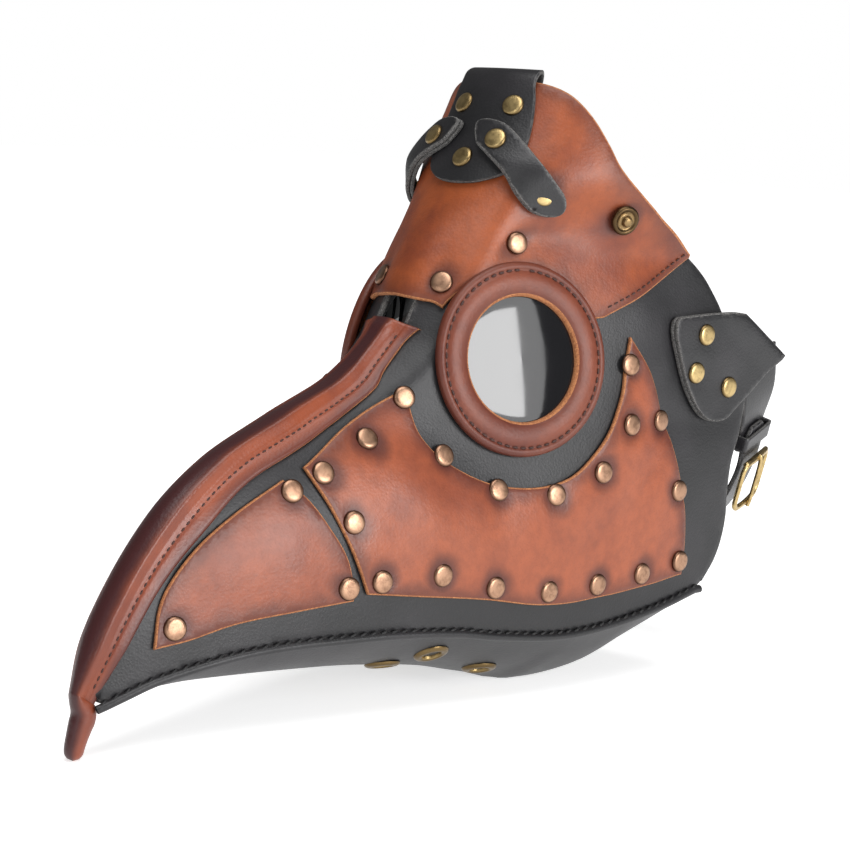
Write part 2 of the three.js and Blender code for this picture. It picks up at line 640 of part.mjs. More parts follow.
const eyelet = () => turned([[EYELET_HOLE, -3.2], [6.4, -3.2], [6.4, -2.6], [EYELET_HOLE + 0.7, -2.6],
  [EYELET_HOLE + 0.7, 0.6], [EYELET_FLANGE, 0.6], [EYELET_FLANGE - 1, 1.5], [EYELET_HOLE, 1.5],
  [EYELET_HOLE, -3.2]], 10);

// ---------------------------------------------------------------- assembly

const mask = new THREE.Group();
mask.position.y = -ORIGIN_Y;

function put(name, look, geometry, parent = mask) {
  const mesh = new THREE.Mesh(geometry, new THREE.MeshStandardMaterial(MATERIALS[look]));
  mesh.name = name;
  parent.add(mesh);
  return mesh;
}

function putPair(name, look, geometry) {
  put(`left_${name}`, look, geometry);
  put(`right_${name}`, look, mirrored(geometry));
}

function addRivetPairs(name, spots, grip) {
  spots.forEach((spot, i) => {
    putPair(`${name}_rivet_${i + 1}`, 'brass', seat(rivet(grip), spot));
  });
}

function addPanels() {
  putPair('side_panel', 'black', toGeometry(sidePanel()));
  put('bottom_panel', 'black', toGeometry(bottomPanel()));
  put('forehead_panel', 'tan', toGeometry(foreheadPanel()));
  put('ridge_cover', 'ring', toGeometry(ridgeCover()));
  putPair('cheek_patch', 'tan', toGeometry(cheekPatch()));
  putPair('beak_patch', 'tan', toGeometry(beakPatch()));
}

function addEyes() {
  putPair('eye_ring', 'ring', seat(turned(ringProfile(), 22), eyeSpot));
  putPair('lens', 'glass', seat(turned(lensProfile(), 22), eyeSpot));
  putPair('lens_backing_ring', 'black', seat(turned(backingProfile(), 22), eyeSpot));
}

function addCrown() {
  put('crown_patch', 'black', toGeometry(crownPatch()));
  putPair('brow_strap', 'black', toGeometry(browStrap()));
  put('crown_strap_upper', 'black', midStrap(CROWN_STRAP_UPPER, STRAP_WIDTH / 2));
  put('crown_strap_lower', 'black', midStrap(CROWN_STRAP_LOWER, STRAP_WIDTH / 2));
}

function addSideStraps() {
  putPair('anchor_plate', 'black', toGeometry(anchorPlate()));
  putPair('anchor_pad', 'black', toGeometry(anchorPad()));
  put('rear_strap_short', 'black', loopStrap(3, BAR_AT - 3, 10, () => 0));
  const lift = (length) => TAIL_LIFT * (1 - smoothstep(length, BAR_AT, BAR_AT + 22));
  put('rear_strap_long', 'black', loopStrap(TAIL_AT, LOOP_LENGTH - 3, 24, lift));
  addBuckle();
}

function addBuckle() {
  const buckle = group(loopFrame(BAR_AT + BUCKLE_LENGTH / 2), TAIL_LIFT + 3);
  put('buckle_frame', 'brass', framePiece(BUCKLE_LENGTH, BUCKLE_WIDTH, WIRE, 2.2), buckle);
  const prong = put('buckle_prong', 'brass', new THREE.BoxGeometry(BUCKLE_LENGTH - 1, 2.4, 1.8), buckle);
  prong.position.z = 2.8;
  const keeper = group(loopFrame(KEEPER_AT), TAIL_LIFT / 2);
  const loop = put('strap_keeper', 'black', framePiece(6.2 + TAIL_LIFT, STRAP_WIDTH + 4.4, 1.6, KEEPER_LENGTH), keeper);
  loop.rotation.y = Math.PI / 2;
  mask.add(buckle, keeper);
}

function addMetal() {
  addRivetPairs('forehead', spots.forehead, FOREHEAD[1] + 1);
  addRivetPairs('beak', spots.beak, PATCH[1] + 0.5);
  addRivetPairs('anchor', spots.anchor, SECOND_LAYER[1]);
  addRivetPairs('brow', spots.brow, 9.2);
  spots.crown.forEach((spot, i) => {
    put(`crown_rivet_${i + 1}`, 'brass', seat(rivet(11), spot));
  });
  putPair('snap_stud', 'brass', seat(snapStud(), spots.snap[0]));
  EYELETS.forEach((at, i) => {
    put(`vent_eyelet_${i + 1}`, 'brass', seat(eyelet(), bellySpot(at)));
  });
}

addPanels();
addEyes();
addCrown();
addSideStraps();
addMetal();

export default mask;
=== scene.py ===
"""A plague doctor mask of riveted tan and black leather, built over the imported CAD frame.

Shapes are worked out in millimetres in the drawing's own frame: y = 0 at the beak tip and rearwards
positive, x = 0 on the mid-plane, z = 0 on the table. to_row() turns them into metres in the row frame.
"""

import math

import bpy
import numpy as np
from mathutils import Matrix, Vector
from mathutils.geometry import delaunay_2d_cdt


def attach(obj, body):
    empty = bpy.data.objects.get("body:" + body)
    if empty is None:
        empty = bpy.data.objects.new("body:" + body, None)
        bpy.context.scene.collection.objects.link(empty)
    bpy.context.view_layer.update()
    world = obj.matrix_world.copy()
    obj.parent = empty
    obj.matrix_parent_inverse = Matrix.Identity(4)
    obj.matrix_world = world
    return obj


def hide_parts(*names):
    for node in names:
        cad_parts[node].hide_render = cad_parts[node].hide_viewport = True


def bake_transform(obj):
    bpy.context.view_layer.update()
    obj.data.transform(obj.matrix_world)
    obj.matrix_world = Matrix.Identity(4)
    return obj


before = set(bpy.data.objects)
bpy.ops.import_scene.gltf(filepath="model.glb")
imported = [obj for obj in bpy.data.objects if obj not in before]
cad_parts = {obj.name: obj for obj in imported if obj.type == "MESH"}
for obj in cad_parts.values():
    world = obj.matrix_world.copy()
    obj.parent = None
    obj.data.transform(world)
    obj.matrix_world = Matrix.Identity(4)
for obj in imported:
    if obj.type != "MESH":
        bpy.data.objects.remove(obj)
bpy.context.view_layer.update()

# ---------------------------------------------------------------- dimensions, as in the CAD source

ORIGIN_Y = 174.2         # from the beak tip back to the middle of the length
LEATHER = 2.0
HALF_WIDTH = 64.0
REACH = 320.0
STATIONS = np.array([
    [0, 5, 1, 0.26], [24, 8, 1, 0.28], [48, 17.5, 1, 0.3], [78, 40, 1, 0.34], [96, 64, 1.2, 0.36],
    [109, 94, 2, 0.38], [121, 124, 5, 0.41], [137, 145, 10, 0.41], [149, 153.5, 13, 0.38],
    [161, 159.5, 12, 0.34], [176, 168.5, 13, 0.3], [190, 180.5, 27, 0.18], [204, 190, 37, 0.08],
    [224, 202, 40, 0.05], [256, 218, 40, 0.05],
])
SEAM = np.array([
    [8, 18.5], [19.4, 23.2], [32, 27.7], [58, 33], [78, 35.1], [102, 35.6], [128, 35.3], [156, 33.2],
    [176, 30], [207, 26.9], [234, 28.2], [262.7, 32.6], [284, 37.6],
])
BELLY = np.array([
    [8, 16.5], [20, 20.3], [41, 21.8], [66, 20.8], [111, 17.8], [133, 15.6], [167.6, 10.5], [190, 5.2],
    [205, 1.4], [216, -2.4], [246, -2.4], [258, 2.6], [272, 8.5], [290, 16],
])
BOTTOM_START = 13.5
BOTTOM_END = 288.0
BOTTOM_GAP = 0.4         # between the side panel's outer face and the bottom panel's edge
SEAM_ROLL = 1.6          # radius of the rolled seam
BELLY_ROUND = 2.0

PANEL = (0.0, 2.0)
PATCH = (2.4, 4.3)
FOREHEAD = (2.4, 4.4)
LOWER_PLY = (2.8, 4.6)
UPPER_PLY = (4.7, 6.5)
BROW_SINK = 3.4          # how far a brow strap's lower end sinks to the forehead
BROW_PLIES = ((7.1, 8.9), (9.0, 10.8))
CROWN_MIDDLE = 2.0

EYE = np.array([32.0, 190.0, 134.0])
EYE_SLOPE_Y = 0.335
EYE_SLOPE_Z = -0.18
EYE_FLAT = 37.0
EYE_BLEND = 78.0
EYE_HOLE = 24.5          # the hole in the shell behind the lens
FOREHEAD_HOLE = 34.6     # the notch that the forehead leaves round the eye

STRAP_WIDTH = 22.0
STRAP_THICKNESS = 2.0
STRAP_TWIST = 0.3

CHEEK_RIVETS = [
    (141, 120), (121.5, 104.5), (100, 94), (108.5, 77), (119, 55), (145.5, 55.5), (170.5, 48.7),
    (197.5, 44.7), (223.5, 45), (248.5, 47), (271, 50), (267, 79.5), (256, 108.5), (237.5, 108),
    (238, 131.5), (222.5, 90), (200, 82), (174.5, 84.5), (152.5, 98),
]
BEAK_RIVETS = [(86.5, 88.3), (105, 53.5), (37.2, 44.2)]
FOREHEAD_RIVETS = [(24.6, 178.3), (12.2, 161.5)]
CROWN_RIVETS = [(CROWN_MIDDLE + 10.5, 228.3), (CROWN_MIDDLE - 10.5, 228.3), (CROWN_MIDDLE, 206.8)]
BROW_TOP = (13, 213)
BROW_LOW = (30.3, 197.5)
ANCHOR_RIVETS = [(278.3, 143), (274, 127.8), (293.8, 121)]
SNAP = (234.3, 190)
EYELETS = [(14, 142), (29, 153), (22, 190), (-14, 142), (-29, 153), (-22, 190)]
REAR_EDGE = [
    (203, 241.5), (210, 240.8), (215, 237.5), (218.5, 232.5), (222, 225.8), (225.3, 218), (229.5, 209),
    (239, 199.5), (251.3, 190.2), (263, 182.4), (273.8, 174.8), (283, 166.5), (290, 156.5), (297, 142),
    (304.5, 128), (310, 115), (307, 101.3), (302, 89), (300.6, 75.5), (301, 66), (299.2, 56),
    (295.5, 47.5), (290, 40.5),
]
RIM_CORNER = 10         # where the forehead's lower rim meets the rear edge
FOREHEAD_RIM = [(273.3, 174), (259, 166), (245, 158.8), (233.4, 153.8), (226, 150.5)]

# ---------------------------------------------------------------- the camera, from the photographed view

CAMERA_PLACE = Vector((0.5991, -0.6646, 0.2311))
CAMERA_BACK = Vector((0.6627, -0.7360, 0.1392))
CAMERA_ROLL = math.radians(3.0)
CAMERA_LENS = 97.4


def add_camera():
    """The view of the photograph, solved from the object's mirrored points."""
    back = CAMERA_BACK.normalized()
    flat = Vector((0, 0, 1)).cross(back).normalized()
    up = back.cross(flat)
    right = flat * math.cos(CAMERA_ROLL) + up * math.sin(CAMERA_ROLL)
    top = back.cross(right)
    turn = Matrix((right, top, back)).transposed().to_4x4()
    data = bpy.data.cameras.new("camera")
    data.lens = CAMERA_LENS
    data.sensor_width = 36.0
    camera = bpy.data.objects.new("camera", data)
    camera.matrix_world = Matrix.Translation(CAMERA_PLACE) @ turn
    bpy.context.scene.collection.objects.link(camera)
    bpy.context.scene.camera = camera


add_camera()

# ---------------------------------------------------------------- curves and tables

FAR_MM = 99.0         # stands for no rivet or cut edge near


def smooth_table(rows, x):
    """Values at x on a smooth curve through rows of [x, value, value ...]."""
    rows = np.asarray(rows, float)
    x = np.atleast_1d(np.asarray(x, float))
    xs, values = rows[:, 0], rows[:, 1:]
    last = len(xs) - 1
    i = np.clip(np.searchsorted(xs, x, "right") - 1, 0, last - 1)
    before = np.maximum(np.arange(last + 1) - 1, 0)
    after = np.minimum(np.arange(last + 1) + 1, last)
    slopes = (values[after] - values[before]) / (xs[after] - xs[before])[:, None]
    step = (xs[i + 1] - xs[i])[:, None]
    s = np.clip((x - xs[i])[:, None] / step, 0, 1)
    rise = values[i + 1] - values[i]
    bend = s * (1 - s) * ((1 - s) * (slopes[i] * step - rise) - s * (slopes[i + 1] * step - rise))
    return values[i] + s * rise + bend


def smoothstep(x, low, high):
    s = np.clip((np.asarray(x, float) - low) / (high - low), 0, 1)
    return s * s * (3 - 2 * s)


def spline(points, per_span=8):
    """A Catmull-Rom curve through points, of any dimension."""
    p = np.asarray(points, float)
    ends = np.vstack([2 * p[0] - p[1], p, 2 * p[-1] - p[-2]])
    out = []
    for k in range(1, len(ends) - 2):
        a, b, c, d = ends[k - 1:k + 3]
        for s in np.linspace(0, 1, per_span, endpoint=False):
            out.append(0.5 * (2 * b + (c - a) * s + (2 * a - 5 * b + 4 * c - d) * s ** 2
                              + (3 * b - a - 3 * c + d) * s ** 3))
    out.append(p[-1])
    return np.array(out)


def resampled(line, spacing, count=None):
    """The same line with points evenly spaced along it."""
    line = np.asarray(line, float)
    lengths = np.concatenate([[0], np.cumsum(np.linalg.norm(np.diff(line, axis=0), axis=1))])
    n = count or max(2, int(round(lengths[-1] / spacing)) + 1)
    at = np.linspace(0, lengths[-1], n)
    return np.stack([np.interp(at, lengths, line[:, k]) for k in range(line.shape[1])], 1)


def lookup(line, share):
    """Points at shares from 0 to 1 of the rows of a line."""
    rows = np.linspace(0, 1, len(line))
    return np.stack([np.interp(share, rows, line[:, k]) for k in range(line.shape[1])], -1)


def circle(count):
    """Cosines and sines of evenly spaced angles."""
    angles = 2 * math.pi * np.arange(count) / count
    return np.cos(angles), np.sin(angles)


def unit(vectors):
    return vectors / np.linalg.norm(vectors, axis=-1, keepdims=True)


def outline(*stretches, spacing=1.6):
    """A closed outline from stretches of points: two points are straight, more are a smooth curve."""
    parts = []
    for stretch in stretches:
        line = np.asarray(stretch, float) if len(stretch) == 2 else spline(stretch)
        parts.append(resampled(line, spacing)[:-1])
    return np.vstack(parts)


def inside(points, loop):
    """Which points are inside a closed outline."""
    x, y = points[:, 0], points[:, 1]
    result = np.zeros(len(points), bool)
    for (x1, y1), (x2, y2) in zip(loop, np.roll(loop, -1, axis=0)):
        crosses = (y1 > y) != (y2 > y)
        with np.errstate(divide="ignore", invalid="ignore"):
            at = (x2 - x1) * (y - y1) / (y2 - y1) + x1
        result ^= crosses & (x < at)
    return result


def distance_to(points, places):
    """The distance from each point to the nearest of the places."""
    places = np.asarray(places, float).reshape(-1, points.shape[1])
    if not len(places):
        return np.full(len(points), FAR_MM)
    return np.min(np.linalg.norm(points[:, None, :] - places[None, :, :], axis=2), axis=1)


# ---------------------------------------------------------------- the head's surface


def skin(t, z):
    """The inner surface: t is 0 on the crest and runs back along either side, z is the height."""
    t, z = np.broadcast_arrays(np.atleast_1d(np.asarray(t, float)), np.atleast_1d(np.asarray(z, float)))
    crest, nose, flare = smooth_table(STATIONS, z.ravel()).T.reshape(3, *z.shape)
    back = REACH * t * t
    spread = np.hypot(np.sqrt(2 * nose * REACH) * t, flare * back)
    rounded = HALF_WIDTH * np.tanh(spread / HALF_WIDTH)
    y = crest + back
    flat = 1 - smoothstep(np.hypot(y - EYE[1], z - EYE[2]), EYE_FLAT, EYE_BLEND)
    flat = flat * smoothstep(back, 3, 14)
    plane = EYE[0] + EYE_SLOPE_Y * (y - EYE[1]) + EYE_SLOPE_Z * (z - EYE[2])
    return np.stack([np.sign(t) * (rounded + (plane - rounded) * flat), y, z], -1)


def skin_normal(t, z):
    across = skin(t + 0.002, z) - skin(t - 0.002, z)
    up = skin(t, z + 0.5) - skin(t, z - 0.5)
    return unit(np.cross(across, up))


def on_skin(t, z, offset):
    t, z = np.asarray(t, float), np.asarray(z, float)
    return skin(t, z) + skin_normal(t, z) * np.atleast_1d(offset)[..., None]


def side_t(y, z):
    crest = smooth_table(STATIONS, np.ravel(z))[:, 0].reshape(np.shape(z) or (1,))
    return np.sqrt(np.maximum(y - crest, 0) / REACH)


def front_t(x, z):
    _, nose, flare = smooth_table(STATIONS, np.ravel(z)).T
    spread = HALF_WIDTH * np.arctanh(np.clip(np.asarray(x, float) / HALF_WIDTH, -0.99, 0.99))
    a, b = (flare * REACH) ** 2, 2 * nose * REACH
    squared = (np.sqrt(b * b + 4 * a * spread * spread) - b) / (2 * a)
    return np.sign(x) * np.sqrt(squared)


WRAP = 227.0          # scale that makes wrap coordinates about as long as the real surface
WRAP_POWER = 1.25


def wrap_t(q):
    return np.sign(q) * (np.abs(q) / WRAP) ** (1 / WRAP_POWER)


def wrap_q(t):
    return np.sign(t) * WRAP * np.abs(t) ** WRAP_POWER


def side_map(points, offset):
    """Side view (y, z) of the inner surface to the point over it, on the wearer's left."""
    return on_skin(side_t(points[:, 0], points[:, 1]), points[:, 1], offset)


def under_side(points, offset):
    """Side view (y, z) of places on a layer at an offset, to that of the inner surface under them."""
    target = np.asarray(points, float)
    base = target.copy()
    for _ in range(12):
        base = base + 0.8 * (target - side_map(base, np.full(len(base), offset))[:, 1:])
        base[:, 0] = np.maximum(base[:, 0], smooth_table(STATIONS, base[:, 1])[:, 0] + 0.01)
    return base


def under_front(points, offset):
    """Front view (x, z) of places on a layer at an offset, to wrapped coordinates."""
    target = np.asarray(points, float)
    base = target.copy()
    for _ in range(16):
        over = on_skin(front_t(base[:, 0], base[:, 1]), base[:, 1], np.full(len(base), offset))[:, [0, 2]]
        base = base + 0.7 * (target - over)
    return wrap_from_front(base)


def wrap_map(points, offset):
    """Wrapped coordinates (q, z), which cross the crest, to the surface."""
    return on_skin(wrap_t(points[:, 0]), points[:, 1], offset)


def wrap_from_side(points):
    points = np.asarray(points, float)
    return np.stack([wrap_q(side_t(points[:, 0], points[:, 1])), points[:, 1]], 1)


def wrap_from_front(points):
    points = np.asarray(points, float)
    return np.stack([wrap_q(front_t(points[:, 0], points[:, 1])), points[:, 1]], 1)


def seat_frame(mapping, point, offset):
    """A place on the surface and its outward normal."""
    place = np.asarray(point, float)[None]
    low, high = mapping(place, np.array([offset])), mapping(place, np.array([offset + 1.0]))
    return low[0], unit((high - low)[0])


# ---------------------------------------------------------------- meshes


def to_row(points):
    p = np.asarray(points, float)
    return np.stack([p[:, 0], p[:, 1] - ORIGIN_Y, p[:, 2]], 1) / 1000


def link_mesh(name, points, faces, materials, looks=None, marks=None, smooth=True):
    """A mesh object in the row frame, from points in millimetres. marks are per-vertex numbers."""
    mesh = bpy.data.meshes.new(name)
    mesh.from_pydata(to_row(points).tolist(), [], [list(map(int, f)) for f in faces])
    for material in materials:
        mesh.materials.append(material)
    if looks is not None:
        mesh.polygons.foreach_set("material_index", np.asarray(looks, np.int32))
    for key, values in (marks or {}).items():
        mesh.attributes.new(key, "FLOAT", "POINT").data.foreach_set("value", np.asarray(values, np.float32))
    if smooth:
        mesh.polygons.foreach_set("use_smooth", np.ones(len(mesh.polygons), bool))
    mesh.update()
    piece = bpy.data.objects.new(name, mesh)
    bpy.context.scene.collection.objects.link(piece)
    return piece


def mirror_mesh(piece, name):
    """The same piece on the wearer's right."""
    mesh = piece.data.copy()
    mesh.name = name
    mesh.transform(Matrix.Scale(-1, 4, (1, 0, 0)))
    mesh.flip_normals()
    other = bpy.data.objects.new(name, mesh)
    bpy.context.scene.collection.objects.link(other)
    return other


def wear_marks(edge, **others):
    """The marks that leather materials read, for a piece with no rivets through it."""
    return {"edge_mm": edge, "rivet_mm": np.full(len(edge), FAR_MM), **others}


def band_faces(rings, size, closed=True):
    """Quads between neighbouring rings, or open rows, of the same size that follow one another."""
    return [(i * size + k, i * size + (k + 1) % size, (i + 1) * size + (k + 1) % size, (i + 1) * size + k)
            for i in range(rings - 1) for k in range(size if closed else size - 1)]


def flipped(faces, base=0):
    """The same faces seen from behind, for points that start at base."""
    return [tuple(base + v for v in face[::-1]) for face in faces]


def fit(piece, body, slot, *nodes):
    """Rides on a body and stands for CAD nodes, which it hides. The slot is not used."""
    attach(piece, body)
    if nodes:
        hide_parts(*nodes)
    return piece


def fit_pair(piece, slot, *nodes):
    """Fits a left piece and its mirrored copy on the mask."""
    other = mirror_mesh(piece, piece.name.replace("left_", "right_", 1))
    fit(piece, "mask", slot, *[f"left_{node}" for node in nodes])
    fit(other, "mask", slot, *[f"right_{node}" for node in nodes])
    return piece, other


def inset(loop, amount):
    """A closed counter-clockwise outline moved inwards."""
    along = np.roll(loop, -1, axis=0) - np.roll(loop, 1, axis=0)
    along /= np.maximum(np.linalg.norm(along, axis=1, keepdims=True), 1e-9)
    return loop + np.stack([-along[:, 1], along[:, 0]], 1) * amount


def clean_loop(loop):
    """A closed outline without points that lie on top of each other."""
    kept = [loop[0]]
    for point in loop[1:]:
        if np.linalg.norm(point - kept[-1]) > 0.12:
            kept.append(point)
    if np.linalg.norm(kept[0] - kept[-1]) < 0.12:
        kept.pop()
    return np.array(kept)


def fill_points(loop, holes, spacing):
    """A staggered grid of points well inside an outline and outside its holes."""
    low, high = loop.min(0), loop.max(0)
    rows = np.arange(low[1], high[1], spacing * 0.87)
    grid = [(x, y) for j, y in enumerate(rows)
            for x in np.arange(low[0] + (j % 2) * spacing / 2, high[0], spacing)]
    points = np.array(grid)
    keep = inside(points, loop) & (distance_to(points, loop) > spacing * 0.62)
    for hole in holes:
        keep &= ~inside(points, hole) & (distance_to(points, hole) > spacing * 0.62)
    return points[keep]


def triangulated(loop, holes, spacing):
    """Points and counter-clockwise triangles that fill an outline, less its holes, which may cross it."""
    rims = [clean_loop(r) for r in (loop, *holes)]
    flat = np.vstack([*rims, fill_points(rims[0], rims[1:], spacing)])
    starts = np.cumsum([0] + [len(r) for r in rims])
    constraints = [(s + k, s + (k + 1) % len(r)) for s, r in zip(starts, rims) for k in range(len(r))]
    found = delaunay_2d_cdt([Vector(p) for p in flat], constraints, [], 1 if not holes else 0, 1e-5)
    flat = np.array([tuple(p) for p in found[0]])
    triangles = np.array([f for f in found[2] if len(f) == 3], int)
    a, b, c = (flat[triangles[:, k]] for k in range(3))
    twice = (b[:, 0] - a[:, 0]) * (c[:, 1] - a[:, 1]) - (b[:, 1] - a[:, 1]) * (c[:, 0] - a[:, 0])
    triangles[twice < 0] = triangles[twice < 0][:, ::-1]
    centres = flat[triangles].mean(1)
    keep = inside(centres, rims[0]) & (np.abs(twice) > 1e-7)
    for hole in rims[1:]:
        keep &= ~inside(centres, hole)
    triangles = triangles[keep]
    used, triangles = np.unique(triangles, return_inverse=True)
    return flat[used], triangles.reshape(-1, 3)


def rims_of(triangles):
    """The closed runs of vertices along the edges that only one triangle uses."""
    sides = {(int(t[k]), int(t[(k + 1) % 3])) for t in triangles for k in range(3)}
    after = {a: b for a, b in sides if (b, a) not in sides}
    runs = []
    while after:
        start, at = next(iter(after.items()))
        run = [start]
        del after[start]
        while at != start and at in after:
            run.append(at)
            at = after.pop(at)
        if len(run) > 2:
            runs.append(np.array(run))
    return runs


def rim_profile(inner, outer, bevel):
    """The cut edge from the outer face round to the inner one: inset and offset of each ring."""
    depth = outer - inner
    return [(bevel, outer), (bevel * 0.3, outer - 0.12 * depth), (0.0, outer - 0.32 * depth),
            (0.0, inner + 0.25 * depth), (bevel * 0.4, inner)]


def leather(name, loop, mapping, layer, materials, spacing=2.4, bevel=0.6, holes=(), rivets=(), dent=0.45,
            relief=None, swell=None):
    """A cut piece of leather laid on the surface: face, rounded cut edge and flesh side.

    relief(points) lifts both faces, and swell(points) only the outer one.
    """
    flat, triangles = triangulated(loop, holes, spacing)
    runs = rims_of(triangles)
    rim = np.concatenate(runs)
    edge = distance_to(flat, flat[rim])
    near = distance_to(flat, rivets)

    def lift(points, share):
        amount = np.zeros(len(points))
        if len(rivets):
            amount -= dent * np.exp(-(distance_to(points, rivets) / 5.5) ** 2)
        if relief is not None:
            amount += relief(points)
        if swell is not None:
            amount += swell(points) * share
        return amount

    def ring(amount, height):
        moved = np.vstack([inset(flat[run], amount) for run in runs])
        return mapping(moved, height + lift(moved, (height - layer[0]) / (layer[1] - layer[0])))

    profile = rim_profile(layer[0], layer[1], bevel)
    face_points = mapping(flat, layer[1] + lift(flat, 1.0))
    face_points[rim] = ring(*profile[0])
    back_points = mapping(flat, layer[0] + lift(flat, 0.0))
    back_points[rim] = ring(*profile[-1])
    points = np.vstack([face_points, *[ring(*step) for step in profile[1:-1]], back_points])
    count, size = len(flat), len(rim)
    levels = [rim] + [count + k * size + np.arange(size) for k in range(len(profile) - 2)]
    levels.append(count + (len(profile) - 2) * size + rim)
    faces = [tuple(tri) for tri in triangles]
    looks = [0] * len(faces)
    for upper, lower in zip(levels, levels[1:]):
        start = 0
        for run in runs:
            for k in range(len(run)):
                a, b = start + k, start + (k + 1) % len(run)
                faces.append((upper[b], upper[a], lower[a], lower[b]))
                looks.append(1)
            start += len(run)
    base = count + (len(profile) - 2) * size
    faces += flipped(triangles, base)
    looks += [2] * len(triangles)
    a, b, c = face_points[triangles[0]]
    outward = seat_frame(mapping, flat[triangles[0][0]], 0.0)[1]
    if np.dot(np.cross(b - a, c - a), outward) < 0:
        faces = [f[::-1] for f in faces]
    edges = [edge, *[edge[rim]] * (len(profile) - 2), edge]
    nears = [near, *[near[rim]] * (len(profile) - 2), near]
    return link_mesh(name, points, faces, materials, looks,
                     {"edge_mm": np.concatenate(edges), "rivet_mm": np.concatenate(nears)})


def slab(name, place, columns, rows, materials, extent_mm, round_edge=0.3):
    """A strap or moulded sheet: place(u, v, w) gives its points, with w 0 on one face and 1 on the other.

    u and v crowd towards the edges, where the thickness is rounded. extent_mm is its size along u and v.
    """
    def steps(n):
        core = np.linspace(0, 1, n)
        return np.concatenate([[0, 0.25 / n], core[1:-1], [1 - 0.25 / n, 1]])

    us, vs = steps(columns), steps(rows)
    u, v = (grid.ravel() for grid in np.meshgrid(us, vs, indexing="ij"))
    nu, nv = len(us), len(vs)
    at_edge = (u == 0) | (u == 1) | (v == 0) | (v == 1)
    top = place(u, v, np.where(at_edge, 1 - round_edge, 1.0))
    low = place(u, v, np.where(at_edge, round_edge, 0.0))
    points = np.vstack([top, low])
    size = nu * nv
    grid = band_faces(nu, nv, closed=False)
    faces = flipped(grid) + [tuple(size + v for v in face) for face in grid]
    looks = [0] * len(grid) + [2] * len(grid)
    rim = ([i * nv for i in range(nu)] + [(nu - 1) * nv + j for j in range(1, nv)]
           + [i * nv + nv - 1 for i in range(nu - 2, -1, -1)] + [j for j in range(nv - 2, 0, -1)])
    faces += [(b, a, size + a, size + b) for a, b in zip(rim, rim[1:] + rim[:1])]
    looks += [1] * len(rim)
    extent = np.minimum(np.minimum(u, 1 - u) * extent_mm[0], np.minimum(v, 1 - v) * extent_mm[1])
    return link_mesh(name, points, faces, materials, looks, wear_marks(np.concatenate([extent, extent])))


def turned(profile, segments=40):
    """Points and faces of a turned part along +Z from (radius, height) pairs, and each point's radius."""
    across, up = circle(segments)
    points = np.vstack([np.stack([radius * across, radius * up, np.full(segments, height)], 1)
                        for radius, height in profile])
    return points, band_faces(len(profile), segments), np.repeat([radius for radius, _ in profile], segments)


def front_seat(place, offset):
    """A seat on the forehead at a place in front view."""
    return seat_frame(wrap_map, wrap_from_front([place])[0], offset)


def basis(normal, along=None):
    """A turn whose third column is the normal."""
    n = np.asarray(normal, float) / np.linalg.norm(normal)
    helper = np.array(along if along is not None else ([0, 0, 1] if abs(n[2]) < 0.9 else [1, 0, 0]), float)
    first = helper - n * np.dot(helper, n)
    first /= np.linalg.norm(first)
    return np.stack([first, np.cross(n, first), n], 1)


def turned_part(profile, spot, segments=40):
    """A turned part standing on a spot, as (points, faces, radii)."""
    points, faces, radii = turned(profile, segments)
    place, normal = spot
    return points @ basis(normal).T + place, faces, radii


def turned_at(name, profile, spot, materials, segments=40):
    points, faces, radii = turned_part(profile, spot, segments)
    return link_mesh(name, points, faces, materials, None, {"radius_mm": radii})


def merged(name, parts, materials):
    """One object from several (points, faces, mark) parts."""
    points, faces, marks, base = [], [], [], 0
    for p, f, m in parts:
        points.append(p)
        marks.append(m)
        faces += [tuple(base + v for v in face) for face in f]
        base += len(p)
    return link_mesh(name, np.vstack(points), faces, materials, None, {"radius_mm": np.concatenate(marks)})


def mirrored_spot(spot):
    flip = np.array([-1.0, 1.0, 1.0])
    return spot[0] * flip, spot[1] * flip


def fit_metal_pair(name, node, profile, spot, material):
    """A turned metal piece at a spot on the left of the mask, and its mirror."""
    for side, at in (("left", spot), ("right", mirrored_spot(spot))):
        fit(turned_at(f"{side}_{name}_metal", profile, at, [material]), "mask", "brass", f"{side}_{node}")


# ---------------------------------------------------------------- materials


